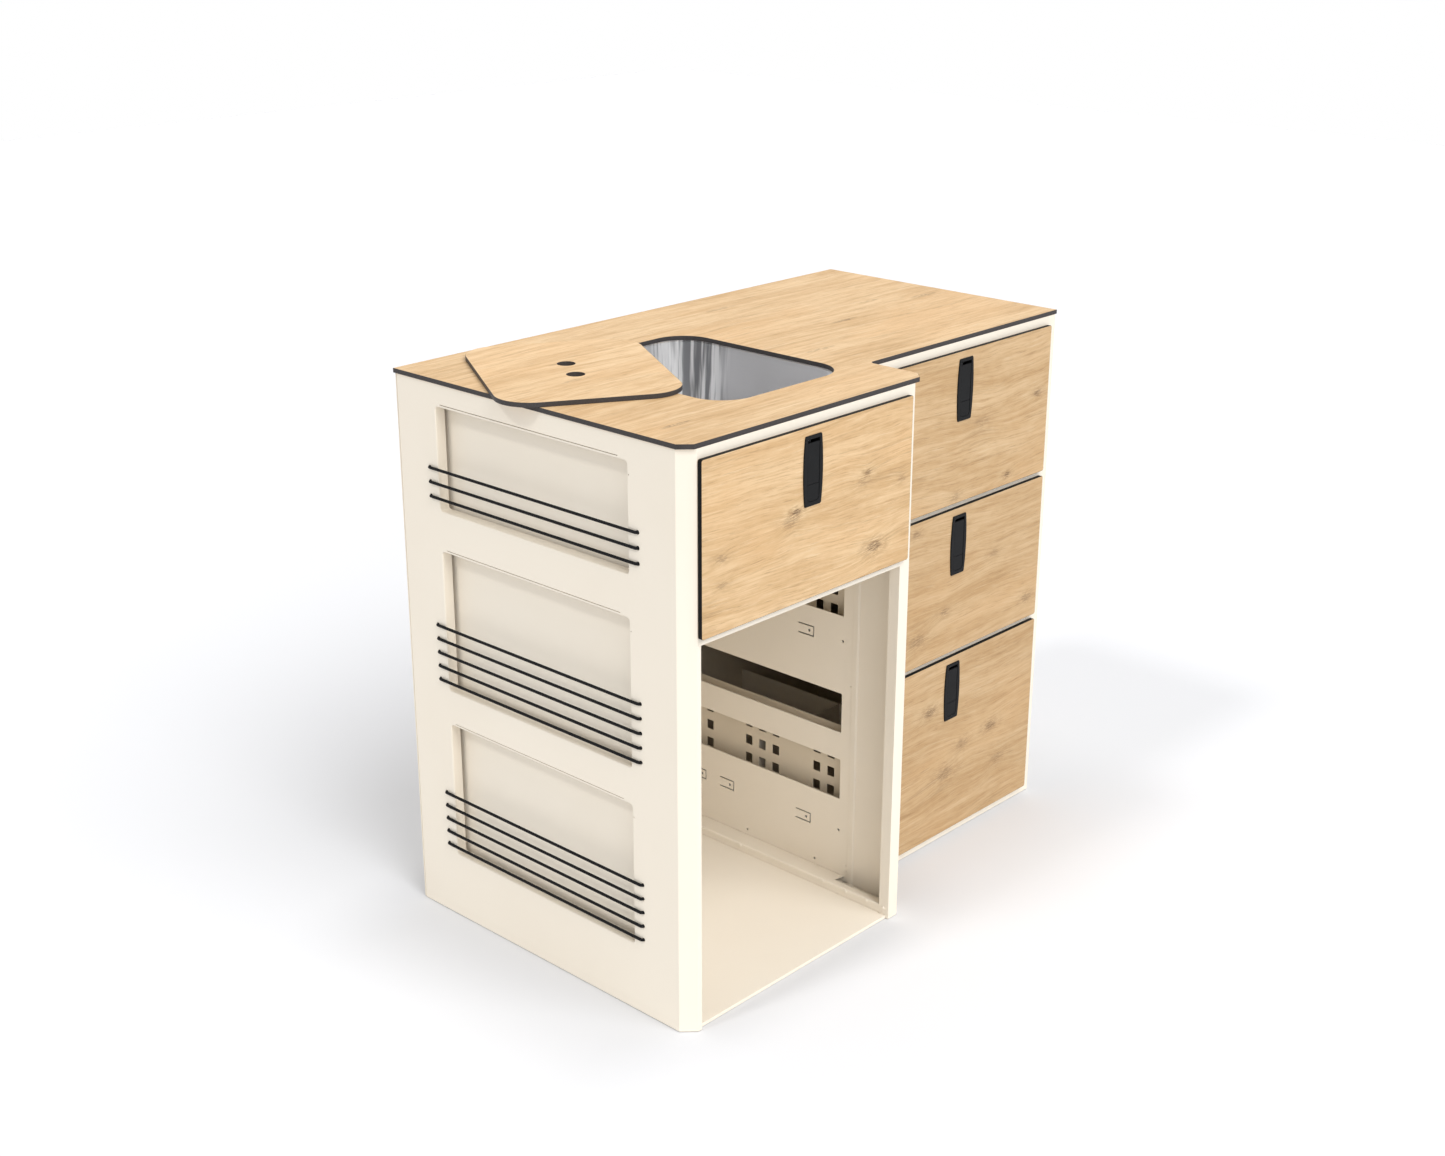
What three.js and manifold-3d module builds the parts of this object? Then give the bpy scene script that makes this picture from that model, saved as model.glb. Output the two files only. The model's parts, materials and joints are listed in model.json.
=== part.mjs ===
// Campervan kitchen pod: a folded steel body with two bays, a board worktop, a sink, niches and four drawers.
// Millimetres. X runs along the drawer fronts to the right, Y from front to back, Z up from the floor.

import * as THREE from "three";
import { mergeVertices } from "three/addons/utils/BufferGeometryUtils.js";
import Module from "manifold-3d";

const wasm = await Module();
wasm.setup();

// Worktop
const worktopWidth = 1000.7;
const worktopDepth = 598.9;
const worktopHeight = 882;
const boardThickness = 7;
const leftBayWidth = 507.2;
const baySetback = 107.8;
const worktopChamfer = 17.2;
const notchRadius = 9;

// Folded body: seat is the gap left where two pieces rest on one another, overrun lets a cut run past its piece.
const sheet = 1.5;
const seat = 0.3;
const overrun = 3;
const leftOverhang = 2;
const rightOverhang = 2.7;
const backOverhang = 1.9;
const leftColumnWidth = 498;
const bodyChamfer = 20;
const postReturn = 19;
const leftPostFlat = 8;
const innerPostFlat = 22;
const rightBayLeftPost = 12;
const rightBayRightPost = 30;
const fasciaHeight = 22;
const sinkRailDrop = 11.3;
const rearReturn = 25;
const railReturn = 18;
const floorThickness = 5;
const floorSetback = 5;
const lapJoggle = 1.8;
const lapOverlap = 9.2;
const flangeLap = 19.2;

// Sink
const sinkLeft = 184;
const sinkFront = 104;
const sinkWidth = 271;
const sinkLength = 342;
const sinkRadius = 55;
const bowlReveal = 2.5;
const bowlFlange = 14;
const bowlWall = 1.2;
const bowlDepth = 130;
const bowlTaper = 6;
const bowlFloorRadius = 28;
const drainRadius = 26;
const wasteFlangeRadius = 34;
const wasteBore = 19;
const wasteThickness = 2.5;
const wasteNutRadius = 33;
const wasteNutHeight = 9;
const wasteBodyLength = 22;
const tailRadius = 20.5;
const tailBore = 18.5;
const tailLength = 22;

// Lid lifted out of the sink and laid on the worktop
const lidRadius = 55;
const lidGap = 1;
const lidCentreX = 156.5;
const lidCentreY = 382.5;
const lidTurn = 59.4;
const fingerHoleRadius = 13.5;
const fingerHoleSpacing = 65;

// Niches in the left side, from the floor up
const nicheFront = 110;
const nicheBack = 507.5;
const nicheRadius = 4;
const nicheRing = 17.5;
const trayMargin = 12;
const trayDepth = 23.3;
const slitHeight = 1.2;
const slitRise = 2.5;
const slitFront = 127;
const slitBack = 497;
const niches = [
  { name: "top", low: 680, high: 840, firstCord: 20.1, cords: 3 },
  { name: "middle", low: 391, high: 616, firstCord: 14.4, cords: 5 },
  { name: "bottom", low: 109.5, high: 333, firstCord: 13.5, cords: 5 },
];

// Laced elastic cords
const cordRadius = 2.25;
const cordPitch = 22.3;
const cordHoleRadius = 3.1;
const cordHoleMargin = 19;
const knotRadius = 3.8;

// Wall between the bays
const windowFront = 138.5;
const windowBack = 565.5;
const windows = [
  { low: 150.5, high: 221 },
  { low: 268.5, high: 336.5 },
  { low: 469, high: 539.5 },
];
const tabLength = 33;
const tabWidth = 18.5;
const tabSlot = 2;
const tabHoleRadius = 2.5;
const tabHoleInset = 10;
const tabFronts = [199, 371.5, 437];
const tabHeights = [94.5, 426.8];
const pilotRadius = 2.2;
const pilotHoles = [
  { y: 139, z: 94.5 },
  { y: 139, z: 426.8 },
  { y: 189, z: 24 },
  { y: 340, z: 24 },
];

// Rail along the foot of that wall, riveted to the floor
const railHeight = 20;
const railWallHeight = 14;
const railCutWidth = 24;
const railCutBack = 125;
const rivetRadius = 3;
const rivetHeight = 1;
const rivetDrop = 5;
const rivetPlaces = [45.5, 88.1, 136, 319, 440, 560];
const postRivetY = 10.5;
const floorHoleFront = 98;
const floorHoleBack = 126;
const floorHoleInset = 3;
const floorHoleWidth = 14;

// Drawer fronts and boxes
const frontThickness = 7;
const frontStandoff = 1;
const frontOverlap = 8;
const frontGap = 9.3;
const frontRadius = 3.5;
const boxSheet = 1.2;
const boxDepth = 468;
const boxLift = 4.4;
const holeWidth = 15;
const holeHeight = 17;
const holePitch = 30.2;
const holeRowPitch = 33;
const holeGroupPitch = 150.9;
const firstHoleGroup = 69.7;
const columnsPerGroup = 3;
const groupsPerSide = 3;
const dividerHeight = 150;
const drawers = [
  { name: "sink", bay: "left", height: 251.2, box: 68, runner: 25.8, rows: 1, rowDrop: 34 },
  { name: "top", bay: "right", height: 251.2, box: 193.3, runner: 65.5, rows: 3, rowDrop: 56 },
  { name: "middle", bay: "right", height: 251.2, box: 193.3, runner: 65.5, rows: 3, rowDrop: 56 },
  { name: "bottom", bay: "right", height: 324, box: 240, runner: 65.5, rows: 3, rowDrop: 56 },
];

// Drawer runners: a channel on the wall and a smaller channel on the box that slides inside it
const runnerHeight = 36;
const runnerDepth = 12.3;
const runnerSheet = 1.2;
const runnerLength = 450;
const runnerSetback = 20.5;
const channelReach = 9.6;
const slideReach = 8.3;
const passGap = 0.6;

// Latches
const latchDrop = 12;
const latchHeight = 102;
const latchEndWidth = 34.5;
const latchMiddleWidth = 41;
const latchProud = 2;
const latchWindowWidth = 25.6;
const latchWindowTop = 5.5;
const latchWindowBottom = 6.5;
const latchWindowRadius = 6.4;
const latchRecess = 0.4;
const caseWidth = 30;
const caseWall = 1.5;
const caseInset = 4.5;
const caseDepth = 27;
const caseClearance = 0.5;
const fingerSlot = 5.3;
const paddleSplit = 70.2;
const paddleThickness = 3;
const paddleGap = 0.4;
const splitGap = 0.5;
const pinRadius = 1;
const pinReach = 1.9;
const buttonThickness = 4;
const stemWidth = 8;
const stemLength = 10;
const boltWidth = 12;
const boltThickness = 8;
const boltSetback = 10;
const boltLength = 34;
const boltSlope = 6;
const boltSlopeRise = 7;
const keeperGap = 0.5;

// Smoothness of round shapes, in steps per quarter or per turn
const cornerSteps = 3;
const wideCornerSteps = 8;
const roundSteps = 24;
const smallRoundSteps = 8;
const barrelSteps = 8;

// Places worked out from the sizes above
const bodyLeft = leftOverhang;
const bodyRight = worktopWidth - rightOverhang;
const bodyBack = worktopDepth - backOverhang;
const boardUnderside = worktopHeight - boardThickness;
const bodyTop = boardUnderside - seat;
const wallRight = bodyLeft + leftColumnWidth;
const wallLeft = wallRight - sheet;
const lapFace = wallLeft - seat - sheet - seat;
const innerBack = bodyBack - sheet - seat;
const openingTop = boardUnderside - fasciaHeight;
const frontTop = openingTop + frontOverlap;
const bays = {
  left: {
    face: 0,
    low: bodyLeft + bodyChamfer + leftPostFlat,
    high: wallRight - bodyChamfer - innerPostFlat,
    wallLow: bodyLeft + sheet + seat,
    wallHigh: lapFace,
  },
  right: {
    face: baySetback,
    low: wallRight + rightBayLeftPost,
    high: bodyRight - rightBayRightPost,
    wallLow: wallRight + seat,
    wallHigh: bodyRight - sheet - seat,
  },
};
placeFronts();

// Each drawer front hangs below the one above it in its bay
function placeFronts() {
  const hangFrom = { left: frontTop, right: frontTop };
  for (const drawer of drawers) {
    drawer.high = hangFrom[drawer.bay];
    drawer.low = drawer.high - drawer.height;
    hangFrom[drawer.bay] = drawer.low - frontGap;
    drawer.openingLow = drawer.low + frontOverlap;
    drawer.openingHigh = drawer.high - frontOverlap;
  }
}

const looks = {
  cream: new THREE.MeshStandardMaterial({ color: 0xf1e9db, roughness: 0.55, metalness: 0 }),
  oak: new THREE.MeshStandardMaterial({ color: 0xe2c194, roughness: 0.6, metalness: 0 }),
  steel: new THREE.MeshStandardMaterial({ color: 0xc2c4c6, roughness: 0.3, metalness: 1 }),
  zinc: new THREE.MeshStandardMaterial({ color: 0xa9adb0, roughness: 0.4, metalness: 1 }),
  grey: new THREE.MeshStandardMaterial({ color: 0xcfcabf, roughness: 0.5, metalness: 0 }),
  black: new THREE.MeshStandardMaterial({ color: 0x1b1d21, roughness: 0.45, metalness: 0 }),
  cord: new THREE.MeshStandardMaterial({ color: 0x141414, roughness: 0.8, metalness: 0 }),
};

const pod = new THREE.Group();

// Spans and outlines
function about(centre, size) {
  return [centre - size / 2, centre + size / 2];
}

function grown([low, high], by) {
  return [low - by, high + by];
}

function rect([aLow, aHigh], [bLow, bHigh]) {
  return [
    [aLow, bLow],
    [aHigh, bLow],
    [aHigh, bHigh],
    [aLow, bHigh],
  ];
}

function arc([a, b], radius, fromTurn, toTurn, steps) {
  const points = [];
  for (let i = 0; i <= steps; i += 1) {
    const angle = 2 * Math.PI * (fromTurn + ((toTurn - fromTurn) * i) / steps);
    points.push([a + radius * Math.cos(angle), b + radius * Math.sin(angle)]);
  }
  return points;
}

function circle(centre, radius, steps) {
  return arc(centre, radius, 0, 1, steps).slice(0, steps);
}

function rounded([aLow, aHigh], [bLow, bHigh], radius, steps = cornerSteps) {
  return [
    ...arc([aLow + radius, bLow + radius], radius, 1 / 2, 3 / 4, steps),
    ...arc([aHigh - radius, bLow + radius], radius, 3 / 4, 1, steps),
    ...arc([aHigh - radius, bHigh - radius], radius, 0, 1 / 4, steps),
    ...arc([aLow + radius, bHigh - radius], radius, 1 / 4, 1 / 2, steps),
  ];
}

// A rectangle whose two lower corners are rounded
function cup([aLow, aHigh], [bLow, bHigh], radius) {
  return [
    ...arc([aLow + radius, bLow + radius], radius, 1 / 2, 3 / 4, cornerSteps),
    ...arc([aHigh - radius, bLow + radius], radius, 3 / 4, 1, cornerSteps),
    [aHigh, bHigh],
    [aLow, bHigh],
  ];
}

// A sheet bent along a line of points, with its thickness on the right-hand side of the line
function folded(line, thickness) {
  const normals = line.slice(1).map(([a, b], i) => {
    const [da, db] = [a - line[i][0], b - line[i][1]];
    const length = Math.hypot(da, db);
    return [db / length, -da / length];
  });
  const inner = line.map(([a, b], i) => {
    const [na, nb] = normals[Math.max(i - 1, 0)];
    const [ma, mb] = normals[Math.min(i, normals.length - 1)];
    const scale = thickness / (1 + na * ma + nb * mb);
    return [a + scale * (na + ma), b + scale * (nb + mb)];
  });
  return [...line, ...inner.reverse()];
}

// Solids
function solid(geometry) {
  geometry.deleteAttribute("normal");
  geometry.deleteAttribute("uv");
  const merged = mergeVertices(geometry);
  const vertProperties = new Float32Array(merged.attributes.position.array);
  const triVerts = new Uint32Array(merged.index.array);
  return new wasm.Manifold(new wasm.Mesh({ numProp: 3, vertProperties, triVerts }));
}

// An outline swept along one axis. Outlines are in (y, z) for x, (x, z) for y and (x, y) for z.
function swept(axis, [from, to], outline) {
  const shape = new THREE.Shape(outline.map(([a, b]) => new THREE.Vector2(a, b)));
  const geometry = new THREE.ExtrudeGeometry(shape, { depth: to - from, bevelEnabled: false });
  const place = new THREE.Matrix4();
  if (axis === "x") {
    place.set(0, 0, 1, from, 1, 0, 0, 0, 0, 1, 0, 0, 0, 0, 0, 1);
  } else if (axis === "y") {
    place.set(1, 0, 0, 0, 0, 0, -1, to, 0, 1, 0, 0, 0, 0, 0, 1);
  } else {
    place.set(1, 0, 0, 0, 0, 1, 0, 0, 0, 0, 1, from, 0, 0, 0, 1);
  }
  return solid(geometry.applyMatrix4(place));
}

function prism(axis, span, outline, holes = []) {
  return cut(swept(axis, span, outline), ...holes.map((hole) => swept(axis, grown(span, overrun), hole)));
}

function block(xSpan, ySpan, zSpan) {
  return prism("z", zSpan, rect(xSpan, ySpan));
}

function joined(first, ...others) {
  return others.reduce((whole, part) => whole.add(part), first);
}

function cut(first, ...others) {
  return others.reduce((whole, part) => whole.subtract(part), first);
}

function piece(name, body, look) {
  const { vertProperties, triVerts } = body.getMesh();
  const geometry = new THREE.BufferGeometry();
  geometry.setAttribute("position", new THREE.BufferAttribute(vertProperties, 3));
  geometry.setIndex(new THREE.BufferAttribute(triVerts, 1));
  geometry.computeVertexNormals();
  const mesh = new THREE.Mesh(geometry, looks[look]);
  mesh.name = name;
  pod.add(mesh);
}

// Closed skin over rings of equal count, listed upwards and turning anticlockwise from above
function loft(rings) {
  const count = rings[0].length;
  const position = [];
  const index = [];
  for (const ring of rings) {
    position.push(...ring.flat());
  }
  for (let i = 0; i < rings.length - 1; i += 1) {
    for (let j = 0; j < count; j += 1) {
      const next = (j + 1) % count;
      const [a, b] = [i * count + j, i * count + next];
      index.push(a, b, b + count, a, b + count, a + count);
    }
  }
  const lastRing = (rings.length - 1) * count;
  for (let j = 1; j < count - 1; j += 1) {
    index.push(0, j + 1, j);
    index.push(lastRing, lastRing + j, lastRing + j + 1);
  }
  const geometry = new THREE.BufferGeometry();
  geometry.setAttribute("position", new THREE.Float32BufferAttribute(position, 3));
  geometry.setIndex(index);
  return solid(geometry);
}

const sinkSpanX = [sinkLeft, sinkLeft + sinkWidth];
const sinkSpanY = [sinkFront, sinkFront + sinkLength];

function worktop() {
  const corner = [leftBayWidth, baySetback];
  const outline = [
    [0, worktopChamfer],
    [worktopChamfer, 0],
    [leftBayWidth - worktopChamfer, 0],
    [leftBayWidth, worktopChamfer],
    ...arc([corner[0] + notchRadius, corner[1] - notchRadius], notchRadius, 1 / 2, 1 / 4, cornerSteps),
    [worktopWidth, baySetback],
    [worktopWidth, worktopDepth],
    [0, worktopDepth],
  ];
  const cutOut = rounded(sinkSpanX, sinkSpanY, sinkRadius, wideCornerSteps);
  piece("worktop", prism("z", [boardUnderside, worktopHeight], outline, [cutOut]), "oak");
}

function sinkLid() {
  const bottom = worktopHeight + seat;
  const outline = rounded(about(0, sinkLength - lidGap), about(0, sinkWidth - lidGap), lidRadius, wideCornerSteps);
  const holes = [-1, 1].map((side) =>
    circle([(side * fingerHoleSpacing) / 2, 0], fingerHoleRadius, roundSteps),
  );
  const turn = THREE.MathUtils.degToRad(lidTurn);
  const place = ([a, b]) => [
    lidCentreX + a * Math.cos(turn) - b * Math.sin(turn),
    lidCentreY + a * Math.sin(turn) + b * Math.cos(turn),
  ];
  const placedHoles = holes.map((hole) => hole.map(place));
  const lid = prism("z", [bottom, bottom + boardThickness], outline.map(place), placedHoles);
  piece("sink_lid", lid, "oak");
}

const bowlBottom = bodyTop - bowlDepth;

// One closed body in the shape of the bowl's inside, or of its outside when grown by the wall
function bowlShape(grow, rimHeight) {
  const ring = (inset, height) => {
    const spanX = grown(sinkSpanX, bowlReveal + grow - inset);
    const spanY = grown(sinkSpanY, bowlReveal + grow - inset);
    const radius = sinkRadius + bowlReveal + grow - inset;
    return rounded(spanX, spanY, radius, wideCornerSteps).map(([x, y]) => [x, y, height]);
  };
  const rings = [];
  for (let i = cornerSteps; i >= 0; i -= 1) {
    const angle = ((Math.PI / 2) * i) / cornerSteps;
    const inset = bowlTaper + bowlFloorRadius * (1 - Math.cos(angle));
    rings.push(ring(inset, bowlBottom - grow + bowlFloorRadius * (1 - Math.sin(angle))));
  }
  rings.push(ring(0, bodyTop));
  if (rimHeight > 0) {
    rings.push(ring(0, bodyTop + rimHeight));
  }
  return loft(rings);
}

function sinkBowl() {
  const centre = [sinkLeft + sinkWidth / 2, sinkFront + sinkLength / 2];
  const flangeX = grown(sinkSpanX, bowlReveal + bowlFlange);
  const flangeY = grown(sinkSpanY, bowlReveal + bowlFlange);
  const flangeOutline = rounded(flangeX, flangeY, sinkRadius + bowlFlange, wideCornerSteps);
  const flange = prism("z", [bodyTop - bowlWall, bodyTop], flangeOutline);
  const drain = prism(
    "z",
    [bowlBottom - bowlWall - overrun, bowlBottom + overrun],
    circle(centre, drainRadius, roundSteps),
  );
  const bowl = cut(joined(bowlShape(bowlWall, 0), flange), bowlShape(0, overrun), drain);
  piece("sink_bowl", bowl, "steel");

  const seatTop = bowlBottom + seat;
  const under = bowlBottom - bowlWall - seat;
  const outerBody = drainRadius - seat;
  const bodyEnd = under - wasteBodyLength;
  const profile = [
    [wasteBore, seatTop + wasteThickness],
    [wasteFlangeRadius - wasteThickness, seatTop + wasteThickness],
    [wasteFlangeRadius, seatTop],
    [outerBody, seatTop],
    [outerBody, under],
    [wasteNutRadius, under],
    [wasteNutRadius, under - wasteNutHeight],
    [outerBody, under - wasteNutHeight],
    [outerBody, bodyEnd],
    [tailRadius, bodyEnd],
    [tailRadius, bodyEnd - tailLength],
    [tailBore, bodyEnd - tailLength],
  ].map(([radius, height]) => new THREE.Vector2(radius, height));
  profile.reverse();
  profile.push(profile[0].clone());
  const waste = new THREE.LatheGeometry(profile, roundSteps);
  waste.rotateX(Math.PI / 2);
  waste.translate(centre[0], centre[1], 0);
  piece("sink_waste", solid(waste), "zinc");
}

// Left side with its niches, trays and cords
const skinInside = bodyLeft + sheet + seat;
const nicheSpanY = [nicheFront, nicheBack];
const cordHoles = [nicheBack + cordHoleMargin, nicheFront - cordHoleMargin];

function cordHeights(niche) {
  return Array.from({ length: niche.cords }, (_, i) => niche.low + niche.firstCord + i * cordPitch);
}

function leftSide() {
  const line = [
    [bays.left.low, postReturn],
    [bays.left.low, 0],
    [bodyLeft + bodyChamfer, 0],
    [bodyLeft, bodyChamfer],
    [bodyLeft, innerBack],
    [bodyLeft + rearReturn, innerBack],
  ];
  const through = [bodyLeft - overrun, bodyLeft + sheet + overrun];
  let panel = prism("z", [0, bodyTop], folded(line, sheet));
  for (const niche of niches) {
    const span = [niche.low, niche.high];
    const opening = rounded(nicheSpanY, span, nicheRadius);
    const ringOutline = rounded(grown(nicheSpanY, sheet), grown(span, sheet), nicheRadius + sheet);
    const ring = prism("x", [bodyLeft, bodyLeft + nicheRing], ringOutline, [opening]);
    const slit = rect([slitFront, slitBack], about(niche.high + sheet + slitRise, slitHeight));
    const laceHoles = cordHeights(niche).flatMap((z) =>
      cordHoles.map((y) => prism("x", through, circle([y, z], cordHoleRadius, smallRoundSteps))),
    );
    panel = joined(cut(panel, prism("x", through, opening), prism("x", through, slit), ...laceHoles), ring);
  }
  piece("side_panel_left", panel, "cream");

  for (const niche of niches) {
    const outerY = grown(nicheSpanY, trayMargin);
    const outerZ = grown([niche.low, niche.high], trayMargin);
    const outer = block([skinInside, skinInside + trayDepth], outerY, outerZ);
    const innerX = [skinInside - overrun, skinInside + trayDepth - sheet];
    const inner = block(innerX, grown(outerY, -sheet), grown(outerZ, -sheet));
    piece(`niche_tray_${niche.name}`, cut(outer, inner), "cream");
    piece(`elastic_cord_${niche.name}`, lacedCord(niche), "cord");
  }
}

// A curve whose stations are its listed points
class ListedCurve extends THREE.Curve {
  constructor(points) {
    super();
    this.points = points;
  }

  getPoint(share) {
    return this.points[Math.round(share * (this.points.length - 1))].clone();
  }

  getPointAt(share) {
    return this.getPoint(share);
  }

  getTangent(share) {
    const place = Math.round(share * (this.points.length - 1));
    const before = this.points[Math.max(place - 1, 0)];
    const after = this.points[Math.min(place + 1, this.points.length - 1)];
    return after.clone().sub(before).normalize();
  }

  getTangentAt(share) {
    return this.getTangent(share);
  }
}

// One cord laced down a niche: across the outside, in through a hole, down behind the skin and out again
function lacedCord(niche) {
  const outside = bodyLeft - seat - cordRadius;
  const inside = skinInside + cordRadius;
  const bend = (inside - outside) / 2;
  const middle = outside + bend;
  const slack = bend * (1 - Math.SQRT1_2);
  const rows = cordHeights(niche).reverse();
  const knotX = skinInside + knotRadius;
  const points = [];
  const add = (x, y, z) => points.push(new THREE.Vector3(x, y, z));
  rows.forEach((z, row) => {
    const [from, to] = row % 2 === 0 ? cordHoles : [...cordHoles].reverse();
    const along = Math.sign(to - from);
    if (row > 0) {
      add(inside, from, z + bend);
      add(inside - slack, from, z + slack);
    } else {
      add(knotX, from, z);
    }
    add(middle, from, z);
    add(outside + slack, from + along * slack, z);
    add(outside, from + along * bend, z);
    add(outside, to - along * bend, z);
    add(outside + slack, to - along * slack, z);
    add(middle, to, z);
    if (row < rows.length - 1) {
      add(inside - slack, to, z - slack);
      add(inside, to, z - bend);
    } else {
      add(knotX, to, z);
    }
  });
  const section = new THREE.Shape(
    circle([0, 0], cordRadius, smallRoundSteps).map(([a, b]) => new THREE.Vector2(a, b)),
  );
  const path = new ListedCurve(points);
  const cord = new THREE.ExtrudeGeometry(section, { steps: points.length - 1, extrudePath: path });
  const knots = [points[0], points[points.length - 1]].map((end) => {
    const knot = new THREE.SphereGeometry(knotRadius, smallRoundSteps, smallRoundSteps / 2);
    return solid(knot.translate(end.x, end.y, end.z));
  });
  return joined(solid(cord), ...knots);
}

// Front frame of the left bay: the inner post with its wall, the fascia and the rail under the drawer
function leftFrame() {
  const bay = bays.left;
  const seam = baySetback;
  const line = [
    [wallLeft - seat, seam + sheet + lapOverlap - lapJoggle],
    [wallLeft - seat, seam + sheet - seat],
    [wallRight, seam - lapJoggle],
    [wallRight, bodyChamfer],
    [wallRight - bodyChamfer, 0],
    [bay.high, 0],
    [bay.high, postReturn],
  ];
  const post = prism("z", [0, bodyTop], folded(line, sheet));
  const spanX = [bay.low + seat, bay.high + sheet];
  const rivet = prism(
    "x",
    [bay.high - rivetHeight, bay.high + sheet],
    circle([postRivetY, railHeight - rivetDrop], rivetRadius, smallRoundSteps),
  );
  const [sink] = drawers;
  const frame = joined(
    post,
    ...rail(spanX, bay.face, openingTop, bodyTop),
    ...rail(spanX, bay.face, sink.low - sinkRailDrop, sink.openingLow),
    rivet,
  );
  piece("front_frame_left", frame, "cream");
}

// A strip across a bay with its upper edge folded back
function rail(spanX, face, low, high) {
  return [
    block(spanX, [face, face + sheet], [low, high]),
    block(spanX, [face, face + railReturn], [high - sheet, high]),
  ];
}

// Front frame of the right bay: one sheet with three openings and a folded upper edge on each strip
function rightFrame() {
  const bay = bays.right;
  const spanX = [bay.low, bay.high];
  const column = drawers.filter((drawer) => drawer.bay === "right");
  const openings = column.map((drawer) => rect(spanX, [drawer.openingLow, drawer.openingHigh]));
  const outline = rect([wallRight + seat, bodyRight], [0, bodyTop]);
  const face = prism("y", [bay.face, bay.face + sheet], outline, openings);
  const edges = [bodyTop, ...column.map((drawer) => drawer.openingLow)];
  const returns = edges.map((high) => block(spanX, [bay.face, bay.face + railReturn], [high - sheet, high]));
  const lap = block([wallRight + seat, wallRight + seat + sheet], [bay.face, bay.face + flangeLap], [0, bodyTop]);
  piece("front_frame_right", joined(face, ...returns, lap), "cream");
}

function rightSide() {
  const front = baySetback + sheet + seat;
  const line = [
    [bodyRight - rearReturn, innerBack],
    [bodyRight, innerBack],
    [bodyRight, front],
    [bodyRight - rearReturn, front],
  ];
  piece("side_panel_right", prism("z", [0, bodyTop], folded(line, sheet)), "cream");
}

function backPanel() {
  const panel = block([bodyLeft, bodyRight], [bodyBack - sheet, bodyBack], [0, bodyTop]);
  piece("back_panel", panel, "cream");
}

// One floor plate under both bays, cut back round the posts and the lap of the wall
function floorPlate() {
  const bay = bays.left;
  const behindPosts = bodyChamfer + sheet;
  const step = baySetback + flangeLap + seat;
  const back = innerBack - sheet - seat;
  const outline = [
    [skinInside, behindPosts],
    [bay.low + seat, behindPosts],
    [bay.low + seat, floorSetback],
    [bay.high - seat, floorSetback],
    [bay.high - seat, behindPosts],
    [lapFace, behindPosts],
    [lapFace, step],
    [bays.right.wallHigh, step],
    [bays.right.wallHigh, back],
    [skinInside, back],
  ];
  const holeHigh = lapFace - floorHoleInset;
  const hole = rect([holeHigh - floorHoleWidth, holeHigh], [floorHoleFront, floorHoleBack]);
  piece("base_plate", prism("z", [0, floorThickness], outline, [hole]), "cream");
}

// Wall between the bays, with windows and tabs punched on three sides
function partition() {
  const front = baySetback + sheet + seat;
  const through = [wallLeft - overrun, wallRight + overrun];
  const holes = windows.map(({ low, high }) => rect([windowFront, windowBack], [low, high]));
  for (const z of tabHeights) {
    for (const y of tabFronts) {
      const [low, high] = about(z, tabWidth);
      holes.push([
        [y, low],
        [y + tabLength, low],
        [y + tabLength, low + tabSlot],
        [y + tabSlot, low + tabSlot],
        [y + tabSlot, high - tabSlot],
        [y + tabLength, high - tabSlot],
        [y + tabLength, high],
        [y, high],
      ]);
      holes.push(circle([y + tabHoleInset, z], tabHoleRadius, smallRoundSteps));
    }
  }
  for (const { y, z } of pilotHoles) {
    holes.push(circle([y, z], pilotRadius, smallRoundSteps));
  }
  const panel = block([wallLeft, wallRight], [front, innerBack], [floorThickness + seat, bodyTop]);
  const cuts = holes.map((hole) => prism("x", through, hole));
  piece("partition_panel", cut(panel, ...cuts), "cream");
}

function footRail() {
  const bay = bays.left;
  const back = innerBack - sheet - seat;
  const line = [
    [bay.high, floorThickness + seat],
    [bay.high, railHeight],
    [wallLeft - seat, railWallHeight],
  ];
  const strip = prism("y", [postReturn + seat, back], folded(line, sheet));
  const cutX = [wallLeft - railCutWidth, wallLeft + overrun];
  const opening = block(cutX, [0, railCutBack], [0, railHeight]);
  const rivets = rivetPlaces.map((y) =>
    prism(
      "x",
      [bay.high - rivetHeight, bay.high + sheet],
      circle([y, railHeight - rivetDrop], rivetRadius, smallRoundSteps),
    ),
  );
  piece("foot_rail", joined(cut(strip, opening), ...rivets), "cream");
}

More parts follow.
